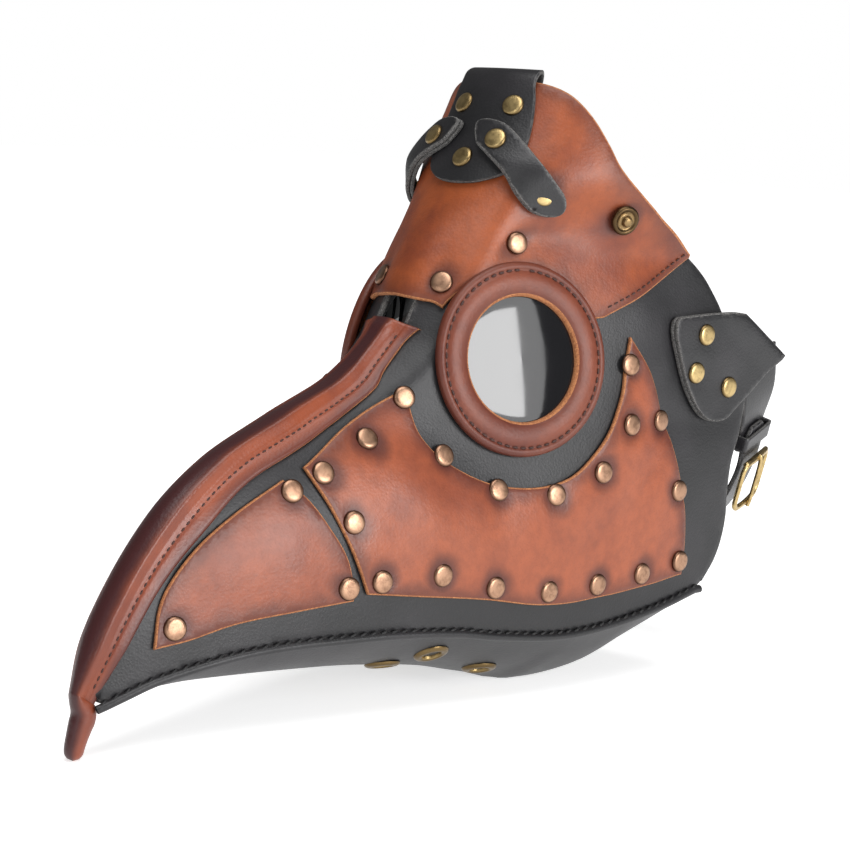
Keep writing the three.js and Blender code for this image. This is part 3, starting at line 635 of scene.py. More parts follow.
class Nodes:
    """A short way to write a node tree."""

    def __init__(self, name):
        self.material = bpy.data.materials.new(name)
        self.material.use_nodes = True
        self.tree = self.material.node_tree
        self.shader = self.tree.nodes["Principled BSDF"]

    def add(self, kind, inputs=None, **settings):
        node = self.tree.nodes.new(kind)
        for key, value in settings.items():
            setattr(node, key, value)
        for key, value in (inputs or {}).items():
            self.feed(node.inputs[key], value)
        return node

    def feed(self, socket, value):
        if isinstance(value, bpy.types.NodeSocket):
            self.tree.links.new(value, socket)
        else:
            socket.default_value = value

    def place(self):
        return self.add("ShaderNodeTexCoord").outputs["Object"]

    def noise(self, scale, detail=3.0, rough=0.5, distortion=0.0):
        return self.add("ShaderNodeTexNoise", {"Vector": self.place(), "Scale": scale, "Detail": detail,
                                               "Roughness": rough, "Distortion": distortion}).outputs["Fac"]

    def cells(self, scale, feature="F1"):
        return self.add("ShaderNodeTexVoronoi", {"Vector": self.place(), "Scale": scale},
                        feature=feature).outputs["Distance"]

    def mark(self, name):
        return self.add("ShaderNodeAttribute", attribute_name=name).outputs["Fac"]

    def ramp(self, value, low, high, start=0.0, end=1.0):
        span = {"Value": value, "From Min": low, "From Max": high, "To Min": start, "To Max": end}
        return self.add("ShaderNodeMapRange", span, interpolation_type="SMOOTHSTEP").outputs["Result"]

    def maths(self, operation, a, b=0.0):
        node = self.add("ShaderNodeMath", operation=operation)
        self.feed(node.inputs[0], a)
        self.feed(node.inputs[1], b)
        return node.outputs[0]

    def uneven(self, scale, detail, amount, base):
        """A number that wanders by amount above base."""
        return self.maths("ADD", self.maths("MULTIPLY", self.noise(scale, detail), amount), base)

    def mix(self, share, a, b):
        node = self.add("ShaderNodeMix", data_type="RGBA")
        self.feed(node.inputs["Factor"], share)
        self.feed(node.inputs[6], a)
        self.feed(node.inputs[7], b)
        return node.outputs[2]

    def bump(self, height, strength, distance, normal=None):
        inputs = {"Height": height, "Strength": strength, "Distance": distance}
        if normal is not None:
            inputs["Normal"] = normal
        return self.add("ShaderNodeBump", inputs).outputs["Normal"]

    def set(self, **values):
        for key, value in values.items():
            self.feed(self.shader.inputs[key.replace("_", " ")], value)
        return self.material


def rgb(r, g, b):
    return (r, g, b, 1.0)


def dimmed(colour, share):
    return rgb(*(c * share for c in colour[:3]))


def grain_normal(n, pebble, strength):
    """Fine leather grain: small pebbles with creases, over slow unevenness."""
    cells = n.cells(pebble)
    fine = n.noise(pebble * 1.7, 2.0)
    creases = n.noise(140.0, 4.0, 0.6, 0.4)
    height = n.maths("ADD", n.maths("MULTIPLY", cells, 0.9), n.maths("MULTIPLY", fine, 0.5))
    small = n.bump(height, strength, 0.00035)
    return n.bump(creases, 0.12, 0.0006, small)


def waxed_leather(name, light, warm, dark, pebble=850.0, roughness=0.36, burnish_and_shade=1.0, strength=0.16):
    """Smooth two-tone leather, darker round rivets and along its edges: partly a burnished finish, partly
    painted shade where the eye rings and brow straps stand over it.
    """
    n = Nodes(name)
    patches = n.ramp(n.noise(26.0, 4.0, 0.55, 0.3), 0.36, 0.66)
    mottle = n.ramp(n.noise(210.0, 3.0, 0.6), 0.3, 0.75)
    colour = n.mix(patches, light, warm)
    colour = n.mix(n.maths("MULTIPLY", mottle, 0.22), colour, dark)
    wander = n.uneven(70.0, 3.0, 6.0, -3.0)
    # Darkening round rivets and cut edges: burnished finish, and painted shade beside the raised eye rings and
    # under the brow straps' ends.
    rivet = n.ramp(n.maths("ADD", n.mark("rivet_mm"), wander), 4.0, 10.5, 0.8 * burnish_and_shade, 0.0)
    edge = n.ramp(n.maths("ADD", n.mark("edge_mm"), wander), 0.5, 8.0, 0.62 * burnish_and_shade, 0.0)
    shade = n.maths("MAXIMUM", rivet, edge)
    colour = n.mix(shade, colour, dark)
    pores = n.ramp(n.cells(pebble * 0.9), 0.05, 0.3, 0.16, 0.0)
    colour = n.mix(pores, colour, dark)
    gloss = n.uneven(60.0, 3.0, 0.16, roughness - 0.06)
    return n.set(Base_Color=colour, Roughness=gloss, Normal=grain_normal(n, pebble, strength),
                 Specular_IOR_Level=0.36)


def black_leather(name, roughness=0.43):
    n = Nodes(name)
    slow = n.ramp(n.noise(32.0, 3.0), 0.35, 0.7)
    colour = n.mix(slow, rgb(0.010, 0.010, 0.011), rgb(0.018, 0.017, 0.019))
    wear = n.ramp(n.mark("edge_mm"), 0.0, 1.1, 0.28, 0.0)
    wear = n.maths("MULTIPLY", wear, n.ramp(n.noise(420.0, 3.0), 0.42, 0.62))
    colour = n.mix(wear, colour, rgb(0.16, 0.15, 0.145))
    gloss = n.uneven(55.0, 3.0, 0.14, roughness - 0.06)
    return n.set(Base_Color=colour, Roughness=gloss, Normal=grain_normal(n, 1050.0, 0.2),
                 Specular_IOR_Level=0.42)


def cut_edge(name, pale, deep):
    """A raw cut edge: fibrous, matte and paler than the face."""
    n = Nodes(name)
    fibres = n.noise(1500.0, 4.0, 0.7, 1.2)
    colour = n.mix(n.ramp(fibres, 0.35, 0.65), deep, pale)
    return n.set(Base_Color=colour, Roughness=0.85, Normal=n.bump(fibres, 0.5, 0.0003))


def flesh_side(name, colour):
    n = Nodes(name)
    nap = n.noise(1800.0, 4.0, 0.7)
    slow = n.noise(60.0, 4.0, 0.6)
    mixed = n.mix(n.maths("MULTIPLY", n.maths("ADD", nap, slow), 0.5), dimmed(colour, 0.55), colour)
    return n.set(Base_Color=mixed, Roughness=0.95, Normal=n.bump(nap, 0.45, 0.0004))


def old_brass(name, bright, dark, roughness=0.3):
    """Antiqued metal: patchy tarnish, and darker out from a radius of 3.3 mm. On a rivet cap that is painted
    shade on its sloping rim, which leaves the top bright; the same ramp darkens eyelet flanges and the press
    stud's outer ring.
    """
    n = Nodes(name)
    tarnish = n.ramp(n.noise(330.0, 5.0, 0.65, 0.5), 0.4, 0.72, 0.0, 0.55)
    # Painted shade by radius: a cap's rim darker than its top.
    rim = n.ramp(n.mark("radius_mm"), 3.3, 4.3, 0.0, 0.85)
    shade = n.maths("MAXIMUM", tarnish, rim)
    colour = n.mix(shade, bright, dark)
    gloss = n.uneven(500.0, 3.0, 0.2, roughness - 0.08)
    scratches = n.noise(1300.0, 3.0, 0.6, 2.0)
    return n.set(Base_Color=colour, Metallic=1.0, Roughness=gloss, Normal=n.bump(scratches, 0.06, 0.0002))


def thread(name, colour):
    n = Nodes(name)
    twist = n.noise(2600.0, 2.0)
    mixed = n.mix(n.ramp(twist, 0.3, 0.7), dimmed(colour, 0.4), colour)
    return n.set(Base_Color=mixed, Roughness=0.7, Normal=n.bump(twist, 0.5, 0.0002))


def lens_material():
    n = Nodes("smoked_lens")
    haze = n.noise(30.0, 2.0)
    colour = n.mix(haze, rgb(0.004, 0.004, 0.005), rgb(0.009, 0.009, 0.010))
    wipe = n.uneven(90.0, 3.0, 0.03, 0.03)
    return n.set(Base_Color=colour, Roughness=wipe, Specular_IOR_Level=0.5,
                 Normal=n.bump(n.noise(14.0, 1.0), 0.05, 0.002))


BROWN_DARK = rgb(0.045, 0.012, 0.010)
TAN = waxed_leather("tan_leather", rgb(0.290, 0.074, 0.030), rgb(0.205, 0.050, 0.023), BROWN_DARK)
BROW_TAN = waxed_leather("forehead_leather", rgb(0.270, 0.062, 0.017), rgb(0.175, 0.037, 0.014),
                         BROWN_DARK, roughness=0.38, burnish_and_shade=0.85)
RING_TAN = waxed_leather("ring_leather", rgb(0.190, 0.046, 0.020), rgb(0.130, 0.028, 0.013),
                         BROWN_DARK, roughness=0.42, burnish_and_shade=0.7)
BLACK = black_leather("black_leather")
STRAP_BLACK = black_leather("strap_leather", 0.4)
TAN_EDGE = cut_edge("tan_cut_edge", rgb(0.45, 0.19, 0.07), rgb(0.19, 0.055, 0.02))
BLACK_EDGE = cut_edge("black_cut_edge", rgb(0.15, 0.145, 0.14), rgb(0.012, 0.012, 0.012))
TAN_FLESH = flesh_side("tan_flesh", rgb(0.20, 0.11, 0.06))
BLACK_FLESH = flesh_side("black_flesh", rgb(0.035, 0.034, 0.036))
ROSE_BRASS = old_brass("rose_brass", rgb(0.38, 0.225, 0.145), rgb(0.085, 0.040, 0.025), 0.34)
GOLD_BRASS = old_brass("gold_brass", rgb(0.50, 0.37, 0.17), rgb(0.085, 0.052, 0.022), 0.34)
DARK_BRASS = old_brass("dark_brass", rgb(0.24, 0.16, 0.075), rgb(0.05, 0.03, 0.015), 0.36)
BROWN_THREAD = thread("brown_thread", rgb(0.060, 0.018, 0.012))
BLACK_THREAD = thread("black_thread", rgb(0.012, 0.012, 0.013))
LENS = lens_material()
TAN_SET = [TAN, TAN_EDGE, TAN_FLESH]
BROW_SET = [BROW_TAN, TAN_EDGE, TAN_FLESH]
BLACK_SET = [BLACK, BLACK_EDGE, BLACK_FLESH]
STRAP_SET = [STRAP_BLACK, BLACK_EDGE, BLACK_FLESH]

# ---------------------------------------------------------------- stitches and rivets


def stitch_parts(line, normals, pitch=3.1, length=2.3, width=0.8, height=0.35, slant=0.0):
    """Short thread loops along a line in space, each sunk at its ends."""
    lengths = np.concatenate([[0], np.cumsum(np.linalg.norm(np.diff(line, axis=0), axis=1))])

    def at_length(table, length):
        return np.array([np.interp(length, lengths, table[:, c]) for c in range(3)])

    parts = []
    for k in range(int(lengths[-1] / pitch)):
        at = (k + 0.5) * pitch
        point = at_length(line, at)
        turn = basis(at_length(normals, at), at_length(line, at + 0.3) - point)
        if slant:
            c, s = math.cos(slant), math.sin(slant)
            turn = turn @ np.array([[c, -s, 0], [s, c, 0], [0, 0, 1]])
        parts.append(thread_loop(point, turn, length, width, height))
    return parts


def thread_loop(point, turn, length, width, height, rings=7, sides=6):
    """One stitch: a bowed thread that thins where it goes into the leather."""
    across, up = circle(sides)
    local = []
    for s in np.linspace(-1, 1, rings):
        girth = width / 2 * math.sqrt(max(1 - s ** 4, 0.02))
        bow = (1 - s * s) * height - 0.1
        local.append(np.stack([np.full(sides, s * length / 2), girth * across, bow + girth * up], 1))
    local = np.vstack(local)
    return local @ turn.T + point, band_faces(rings, sides), np.zeros(len(local))


RIVET_CAP = [(0.01, 1.42), (1.6, 1.4), (2.8, 1.33), (3.55, 1.18), (4.05, 0.9), (4.35, 0.5), (4.45, 0.1),
             (4.35, -0.25), (3.9, -0.3)]


def rivet_profile(grip):
    """Domed cap, and the small washer-like tail at the end of the grip."""
    tail = -grip - 0.3
    return RIVET_CAP + [(1.4, -0.3), (1.4, tail), (3.0, tail), (3.1, tail - 0.4), (2.6, tail - 0.9),
                        (0.01, tail - 0.9)]


def add_rivet_row(name, mapping, places, offset, material, grip):
    """One object for each CAD rivet, and its mirror."""
    for k, place in enumerate(places):
        rivet = f"{name}_rivet_{k + 1}"
        fit_metal_pair(rivet, rivet, rivet_profile(grip), seat_frame(mapping, place, offset), material)


# ---------------------------------------------------------------- the shell


def waviness(points, amount, wave):
    """Slow unevenness of soft leather, the same in every run."""
    x, y = points[:, 0] / wave, points[:, 1] / wave
    return amount * (np.sin(1.7 * x + 0.6 * y + 1.1) * np.sin(0.5 * x - 1.3 * y + 0.4)
                     + 0.5 * np.sin(2.9 * x + 2.1 * y + 2.0) * np.sin(2.3 * x - 1.9 * y))


EYE_NORMAL = unit(np.array([1, -EYE_SLOPE_Y, -EYE_SLOPE_Z]))
EYE_TURN = basis(EYE_NORMAL)
EYE_SPOT = (EYE, EYE_NORMAL)


def eye_circle(radius, count=96):
    """A circle round the eye in its plane, in side view."""
    across, up = circle(count)
    return (EYE + radius * (across[:, None] * EYE_TURN[:, 0] + up[:, None] * EYE_TURN[:, 1]))[:, 1:]


def crest_line(low, high, behind, count=40):
    z = np.linspace(low, high, count)
    return np.stack([smooth_table(STATIONS, z)[:, 0] + behind, z], 1)


def seam_height(y):
    return smooth_table(SEAM, y)[:, 0]


def add_side_panels():
    front = crest_line(23, 160, 1.5)[::-1]
    top = [(263, 181), (250, 175), (236, 176), (214, 183), (190, 185), (168, 176), tuple(front[0])]
    seam = [(y, seam_height(y)[0] - 0.5) for y in np.linspace(285, 12, 40)]
    loop = outline(top, front, [tuple(front[-1]), seam[-1]], seam[::-1], [seam[0], REAR_EDGE[-1]],
                   REAR_EDGE[:8:-1])

    def relief(points):
        from_eye = np.hypot(points[:, 0] - EYE[1], points[:, 1] - EYE[2])
        return waviness(points, 0.25, 23.0) * smoothstep(from_eye, 38, 60)

    piece = leather("left_side_leather", loop, side_map, PANEL, BLACK_SET, spacing=3.2,
                    holes=[eye_circle(EYE_HOLE)], relief=relief)
    fit_pair(piece, "black_leather", "side_panel")


def bottom_half(y):
    seam = seam_height(y)
    return on_skin(side_t(y, seam), seam, LEATHER + BOTTOM_GAP)[:, 0]


def belly_height(x, y, half):
    seam = seam_height(y)
    middle = smooth_table(BELLY, y)[:, 0]
    edge = seam - LEATHER
    return np.maximum(middle + (edge - middle) * np.minimum(np.abs(x) / half, 1) ** BELLY_ROUND, 0)


def belly_place(u, v, w):
    """The bottom panel: u goes across from seam to seam and v from the throat to the beak."""
    y = BOTTOM_END + (BOTTOM_START - BOTTOM_END) * v
    half = bottom_half(y)
    bow = np.sin((2 * u - 1) * math.pi / 2)
    share = 0.35 * bow + 0.65 * (2 * u - 1)
    x = half * share
    z = belly_height(x, y, half)
    rim = smoothstep(np.abs(share), 0.93, 1.0)
    return np.stack([x + np.sign(x) * 0.8 * rim * (w - 0.3), y, z + LEATHER * (1 - w) + 0.5 * rim], 1)


def add_bottom():
    """The bottom panel, and along each of its edges the rolled seam with its slanted stitches."""
    piece = slab("bottom_leather", belly_place, 60, 96, BLACK_SET, extent_mm=(110, 275))
    fit(piece, "mask", "black_leather", "bottom_panel")
    y = np.linspace(BOTTOM_START - 3.5, BOTTOM_END - 0.5, 320)
    for side, name in ((1, "left"), (-1, "right")):
        seam = seam_height(y)
        line = on_skin(side_t(y, seam), seam - 1.3, LEATHER + 0.5)
        line[:, 0] *= side
        piping(f"{name}_seam_roll", line, SEAM_ROLL)
        raised = on_skin(side_t(y, seam), seam + 0.35, LEATHER + 0.75)
        raised[:, 0] *= side
        normals = np.tile([0.95 * side, 0, 0.2], (len(line), 1))
        parts = stitch_parts(raised, normals, 4.6, 3.5, 1.1, 0.3, 0.3 * side)
        fit(merged(f"{name}_seam_stitches", parts, [BLACK_THREAD]), "mask", "black_leather")


def piping(name, line, radius):
    """The rolled edge where the side and bottom panels are sewn together."""
    along = np.gradient(line, axis=0)
    sides = 10
    across, up = circle(sides)
    points = []
    for point, ahead in zip(line, along):
        turn = basis(ahead)
        points.append(point + radius * (across[:, None] * turn[:, 0] + up[:, None] * turn[:, 1]))
    points = np.vstack(points)
    piece = link_mesh(name, points, band_faces(len(line), sides), [BLACK], None,
                      wear_marks(np.full(len(points), 9.0)))
    fit(piece, "mask", "black_leather")


FOREHEAD_ARCH = [(205, 148.5), (180, 147.5), (164, 150.5), (158.5, 156)]    # its low edge, by the ridge


def add_forehead():
    rim = under_side(spline(FOREHEAD_RIM), FOREHEAD[1])
    low = under_side(spline([FOREHEAD_RIM[-1], *FOREHEAD_ARCH]), FOREHEAD[1])
    rear = under_side(spline(REAR_EDGE[:RIM_CORNER + 1]), FOREHEAD[1])
    top = np.array([[0.0, rear[0][1]]])
    tongue = np.array([[0.0, low[-1][1] + 1.5]])
    half = np.vstack([top, wrap_from_side(rear), wrap_from_side(rim), wrap_from_side(low), tongue])
    half = resampled(half, 1.8)
    loop = np.vstack([half, half[1:-1][::-1] * np.array([-1, 1])])
    ring = wrap_from_side(eye_circle(FOREHEAD_HOLE))
    rivets = [wrap_from_front([p])[0] for p in FOREHEAD_RIVETS + [BROW_LOW]]
    rivets.append(wrap_from_side([SNAP])[0])
    rivets += [r * np.array([-1, 1]) for r in rivets]
    piece = leather("forehead_leather", loop, wrap_map, FOREHEAD, BROW_SET, spacing=2.6,
                    holes=[ring, ring * np.array([-1, 1])], rivets=rivets, dent=0.8, relief=forehead_relief)
    fit(piece, "mask", "tan_leather", "forehead_panel")
    add_rim_stitches()


def forehead_relief(points):
    """Soft hollows: under the brow strap's end, and between it and the press stud."""
    back = REACH * wrap_t(points[:, 0]) ** 2
    q, z = np.abs(points[:, 0]), points[:, 1]
    soft = waviness(points, 0.45, 28.0)
    hollow = 2.6 * np.exp(-((q - 62) / 15) ** 2 - ((z - 191) / 13) ** 2)
    near_stud = 1.4 * np.exp(-((q - 92) / 11) ** 2 - ((z - 190) / 9) ** 2)
    return (soft - hollow - near_stud) * smoothstep(back, 2, 20) * smoothstep(z, 152, 170)


def add_rim_stitches():
    shifted = [(y - 1.6, z + 2.4) for y, z in FOREHEAD_RIM]
    flat = resampled(under_side(spline(shifted), FOREHEAD[1]), 1.0)[2:-3]
    line = side_map(flat, np.full(len(flat), FOREHEAD[1] + 0.1))
    normals = side_map(flat, np.full(len(flat), FOREHEAD[1] + 1.1)) - line
    left = merged("left_rim_stitches", stitch_parts(line, normals, 3.2, 2.3, 0.7, 0.25), [BROWN_THREAD])
    fit_pair(left, "tan_leather")


RIDGE_LOWER = [(8, 19), (18, 38), (33, 60), (51, 78), (71, 94), (102, 108.5), (128, 122.5), (138, 131.5),
               (152.5, 146)]
TIP_SPINE = [(7.4, 16.5), (5.9, 12.5), (4.5, 8.5), (3.4, 4.6), (2.9, 0.1)]
TIP_GIRTH = np.array([[0, 5.4, 6.4], [0.3, 4.6, 5.0], [0.6, 3.9, 4.1], [0.85, 3.4, 3.6], [1, 3.1, 3.3]])
STITCH_AT = 0.70      # where the row of stitches runs, from the crest to the lower edge
RIDGE_TOP = FOREHEAD[1] - 0.3


def ridge_sections(count=200):
    """Matching places of the cover's lower edge and of the crest, on the inner surface."""
    lower = under_side(spline(RIDGE_LOWER, 16), FOREHEAD[1])
    lower = resampled(lower, 1, count)
    z = np.linspace(23.0, 146.5, 500)
    crest = np.stack([smooth_table(STATIONS, z)[:, 0], z], 1)
    return lower, resampled(crest, 1, count)


def ridge_roll(g):
    """The padded roll on the crest, the groove beside it and the flat wing that is sewn down."""
    roll = 2.3 * (1 - smoothstep(g, 0.30, 0.62))
    shoulder = 0.55 * np.exp(-((g - 0.36) / 0.09) ** 2)
    sewn = -0.35 * np.exp(-((g - 0.70) / 0.035) ** 2)
    return roll + shoulder + sewn


def ridge_section(lower, crest, g, lift):
    """The cover's section over one pair of places: g is 0 on the crest and 1 on the lower edge."""
    t_low = side_t(lower[0], lower[1])[0]
    t = t_low * g ** 1.15
    z = crest[1] + (lower[1] - crest[1]) * g ** 2
    point = on_skin(t, z, lift)
    point[:, 0] *= 0.55 + 0.45 * smoothstep(z, 18, 40)
    return point


def both_sides(half):
    """A half section from the crest outwards, with its mirror before it."""
    half = np.asarray(half)
    flip = np.array([-1, 1, 1]) if half.ndim == 2 else 1
    return np.concatenate([half[1:][::-1] * flip, half])


def add_ridge():
    lower, crest = ridge_sections()
    count = len(lower)
    gs = np.concatenate([np.linspace(0, 0.5, 13), np.linspace(0.5, 1, 15)[1:]])
    rows = []
    for k in range(count):
        fade = smoothstep(count - 1 - k, 0, 5) * 0.55 + 0.45
        height = RIDGE_TOP + ridge_roll(gs) * fade
        height[-1] -= 0.45
        out = ridge_section(lower[k], crest[k], gs, height)
        back = ridge_section(lower[k], crest[k], np.array([1.0, 0.96]), np.array([2.4, 2.3]))
        rows.append(both_sides(np.vstack([out, back])))
    width = len(rows[0])
    rows.append(rows[-1] + np.array([0, 1.6, -0.8]))          # the turned-in square end
    rims = (0, 1, width - 3, width - 2)
    faces = band_faces(count + 1, width, closed=False)
    looks = [1 if k // (width - 1) == count - 1 or k % (width - 1) in rims else 0 for k in range(len(faces))]
    tip_points, tip_faces, tip_burnish_and_shade = ridge_tip(rows[0])
    faces += [tuple((count + 1) * width + v for v in face) for face in tip_faces]
    looks += [0] * len(tip_faces)
    edge = np.concatenate([np.tile(both_sides([*(1 - gs) * 13, 0, 0]), count), np.zeros(width),
                           np.full(len(tip_points), 9.0)])
    # Crest mark: low on the crest, where burnish and painted shade darken the roll.
    burnish_and_shade = np.concatenate([np.tile(both_sides([*gs, 1, 1]), count), np.ones(width), tip_burnish_and_shade])
    piece = link_mesh("ridge_leather", np.vstack([*rows, tip_points]), faces, [RIDGE, TAN_EDGE, TAN_FLESH],
                      looks, wear_marks(edge, crest=burnish_and_shade))
    fit(piece, "mask", "burnished_leather", "ridge_cover")
    ridge_stitches(lower, crest)


def ridge_tip(first):
    """The closed finger below the first section: the section closes to an oval, which ends round."""
    count, steps = len(first), 26
    spine = spline([(first[:, 1].mean(), first[:, 2].mean())] + TIP_SPINE, 10)
    spine = resampled(spine, 1, steps)
    lengths = np.linspace(0, 1, steps)
    total = float(np.sum(np.linalg.norm(np.diff(spine, axis=0), axis=1)))
    angles = np.linspace(-math.pi, math.pi, count + 1)[:-1] + math.pi / count
    points, burnish_and_shade = [], []
    for k, share in enumerate(lengths):
        ahead = spine[min(k + 1, steps - 1)] - spine[max(k - 1, 0)]
        ahead = ahead / np.linalg.norm(ahead)
        front = np.array([0.0, ahead[1], -ahead[0]])
        wide, deep = smooth_table(TIP_GIRTH, share)[0]
        left = total * (1 - share)
        cap = math.sqrt(max(1 - (1 - min(left / 3.4, 1)) ** 2, 0.0))
        middle = np.array([0.0, *spine[k]])
        oval = (middle + np.outer(np.cos(angles) * deep * cap, front)
                + np.outer(np.sin(angles) * wide * cap, [1.0, 0, 0]))
        blend = smoothstep(share, 0.0, 0.42)
        points.append(first * (1 - blend) + oval * blend)
        # Low on the tip's front side, so the crest's burnish and painted shade run on round the tip.
        burnish_and_shade.append(np.abs(angles) / math.pi)
    points = np.vstack(points)
    points[:, 2] = np.maximum(points[:, 2], 0.1)
    faces = flipped(band_faces(steps, count))
    faces.append(tuple((steps - 1) * count + s for s in range(count)))
    return points, faces, np.concatenate(burnish_and_shade)


def ridge_stitches(lower, crest):
    stitched = np.array([STITCH_AT])
    height = RIDGE_TOP + ridge_roll(stitched)
    places = range(4, len(lower) - 3)
    line, over = (np.array([ridge_section(lower[k], crest[k], stitched, height + up)[0] for k in places])
                  for up in (0, 1))
    left = merged("left_ridge_stitches", stitch_parts(line, over - line, 3.0, 2.1, 0.75, 0.2), [BROWN_THREAD])
    fit_pair(left, "burnished_leather")


def ridge_material():
    """Ring leather, darkened almost black along the crest: partly burnished, partly painted shade on the roll's
    top side.
    """
    n = Nodes("ridge_leather")
    patches = n.ramp(n.noise(24.0, 4.0, 0.55, 0.3), 0.36, 0.66)
    colour = n.mix(patches, rgb(0.230, 0.052, 0.020), rgb(0.150, 0.034, 0.017))
    wander = n.uneven(80.0, 3.0, 0.16, -0.08)
    # Darkens the roll's top: burnish and painted shade.
    crest_burnish_and_shade = n.ramp(n.maths("ADD", n.mark("crest"), wander), 0.16, 0.46, 0.97, 0.0)
    edge = n.ramp(n.mark("edge_mm"), 0.3, 3.2, 0.6, 0.0)
    colour = n.mix(n.maths("MAXIMUM", crest_burnish_and_shade, edge), colour, rgb(0.040, 0.010, 0.011))
    gloss = n.uneven(60.0, 3.0, 0.14, 0.29)
    return n.set(Base_Color=colour, Roughness=gloss, Normal=grain_normal(n, 850.0, 0.16),
                 Specular_IOR_Level=0.4)


RIDGE = ridge_material()

# ---------------------------------------------------------------- tan patches


def add_cheek_patch():
    loop = outline(
        [(112, 51), (104, 72), (92, 98)],
        [(92, 98), (116, 112.5), (140.5, 124.5)],
        [(140.5, 124.5), (144, 106), (161, 92), (184, 86), (206, 89), (223, 103), (232, 119), (235, 131),
         (238, 143)],
        [(238, 143), (248, 129), (255, 115), (262, 100), (270, 76), (274, 51)],
        [(274, 51), (273, 44)],
        [(273, 44), (244, 41), (200, 39), (161, 45), (112, 51)])
    piece = leather("left_cheek_leather", under_side(loop, PATCH[1]), side_map, PATCH, TAN_SET, spacing=2.3,
                    rivets=CHEEK_RIVETS, dent=0.75, relief=cheek_relief)
    fit_pair(piece, "tan_leather", "cheek_patch")
    spots = [seat_frame(side_map, place, PATCH[1] - 0.35) for place in CHEEK_RIVETS]
    for side, seats in (("left", spots), ("right", [mirrored_spot(spot) for spot in spots])):
        caps = [turned_part(RIVET_CAP, spot, 32) for spot in seats]
        fit(merged(f"{side}_cheek_rivets_metal", caps, [ROSE_BRASS]), "mask", "brass")


def cheek_relief(points):
    middle = np.exp(-((points[:, 0] - 190) / 60) ** 2 - ((points[:, 1] - 66) / 22) ** 2)
    return 0.7 * middle + waviness(points, 0.3, 19.0)


def add_beak_patch():
    loop = outline(
        [(28, 38), (31, 52), (37, 62), (48, 73), (64, 84), (83, 94)],
        [(83, 94), (90, 88), (98, 76), (104, 65), (107, 52)],
        [(107, 52), (106, 49)],
        [(106, 49), (83, 47), (60, 44.5), (41, 40), (28, 38)])
    piece = leather("left_beak_leather", under_side(loop, PATCH[1]), side_map, PATCH, TAN_SET, spacing=2.3,
                    rivets=BEAK_RIVETS, dent=0.6, relief=lambda p: waviness(p, 0.25, 17.0))
    fit_pair(piece, "tan_leather", "beak_patch")
    add_rivet_row("beak", side_map, BEAK_RIVETS, PATCH[1] - 0.3, ROSE_BRASS, 4.6)


# ---------------------------------------------------------------- eyes

RING_PROFILE = [
    (34.5, 2.3), (37.2, 2.4), (37.7, 3.2), (37.7, 4.6), (37.3, 5.6), (36.5, 6.15), (35.6, 6.3),
    (34.9, 6.05), (34.5, 5.75), (34.1, 5.75), (33.6, 6.15), (32.4, 6.65), (30.6, 6.9), (28.6, 6.85),
    (27.0, 6.6), (25.9, 6.25), (25.4, 5.95),
]
LIP_PROFILE = [(25.4, 5.95), (25.0, 5.75), (24.6, 5.3), (24.3, 4.6), (24.3, 3.0)]
LENS_PROFILE = [(0.01, 4.3), (6, 4.27), (12, 4.18), (18, 4.0), (22, 3.8), (25, 3.62), (27, 3.4), (27, 2.3),
                (0.01, 2.3)]
BACKING_PROFILE = [(24.5, -0.3), (24.5, -2.0), (24.8, -2.2), (33.7, -2.2), (34, -2.0), (34, -0.3)]
RING_STITCH_RADIUS = 34.3
RING_STITCH_HEIGHT = 5.95


def add_eyes():
    points, faces, radii = turned_part(RING_PROFILE, EYE_SPOT, 128)
    ring = link_mesh("left_eye_leather", points, faces, [RING_TAN], None,
                     wear_marks(np.minimum(37.8 - radii, radii - 24.0)))
    fit_pair(ring, "burnished_leather", "eye_ring")
    points, faces, _ = turned_part(LIP_PROFILE, EYE_SPOT, 128)
    fit_pair(link_mesh("left_eye_lip", points, faces, [TAN_EDGE]), "burnished_leather")
    angles = np.linspace(0, 2 * math.pi, 240)
    row = np.stack([RING_STITCH_RADIUS * np.cos(angles), RING_STITCH_RADIUS * np.sin(angles),
                    np.full(240, RING_STITCH_HEIGHT)], 1) @ EYE_TURN.T + EYE
    loops = stitch_parts(row, np.tile(EYE_NORMAL, (240, 1)), 3.6, 2.5, 1.0, 0.2)
    stitches = merged("left_eye_stitches", loops, [BROWN_THREAD])
    fit_pair(stitches, "burnished_leather")
    fit_pair(turned_at("left_lens_disc", LENS_PROFILE, EYE_SPOT, [LENS], 96), "lens", "lens")
    points, faces, _ = turned_part(BACKING_PROFILE, EYE_SPOT, 96)
    backing = link_mesh("left_backing_leather", points, faces, [BLACK_FLESH])
    fit_pair(backing, "black_leather", "lens_backing_ring")


# ---------------------------------------------------------------- crown and brow

# Height and offset from the inner surface, over the forehead's top edge and down behind it.
CROWN_ROUTE = [
    (197.4, 6.0), (203, 6.0), (209, 6.0), (220, 6.0), (229, 6.2), (235.5, 6.9), (240, 6.6), (242.8, 4.4),
    (243.2, 1.6), (241, -0.6), (235, -1.2), (227, -1.2), (220, -1.2),
]
CROWN_PATH = resampled(spline(CROWN_ROUTE, 12), 1, 400)
CROWN_SIDES = np.array([
    [197.4, 1.5, 3.0], [198.2, -4.5, 9.5], [199.8, -8.5, 14.0], [202, -11.5, 18.2], [205, -13.5, 20.8],
    [210, -15.0, 22.0], [216, -15.8, 21.6], [224, -15.6, 20.4], [232, -15.0, 18.6], [237, -13.6, 17.2],
    [243, -12.4, 16.8],
])
CROWN_THICKNESS = 1.8
CROWN_TOP = 241.0         # the patch is as wide over the fold as the forehead is here


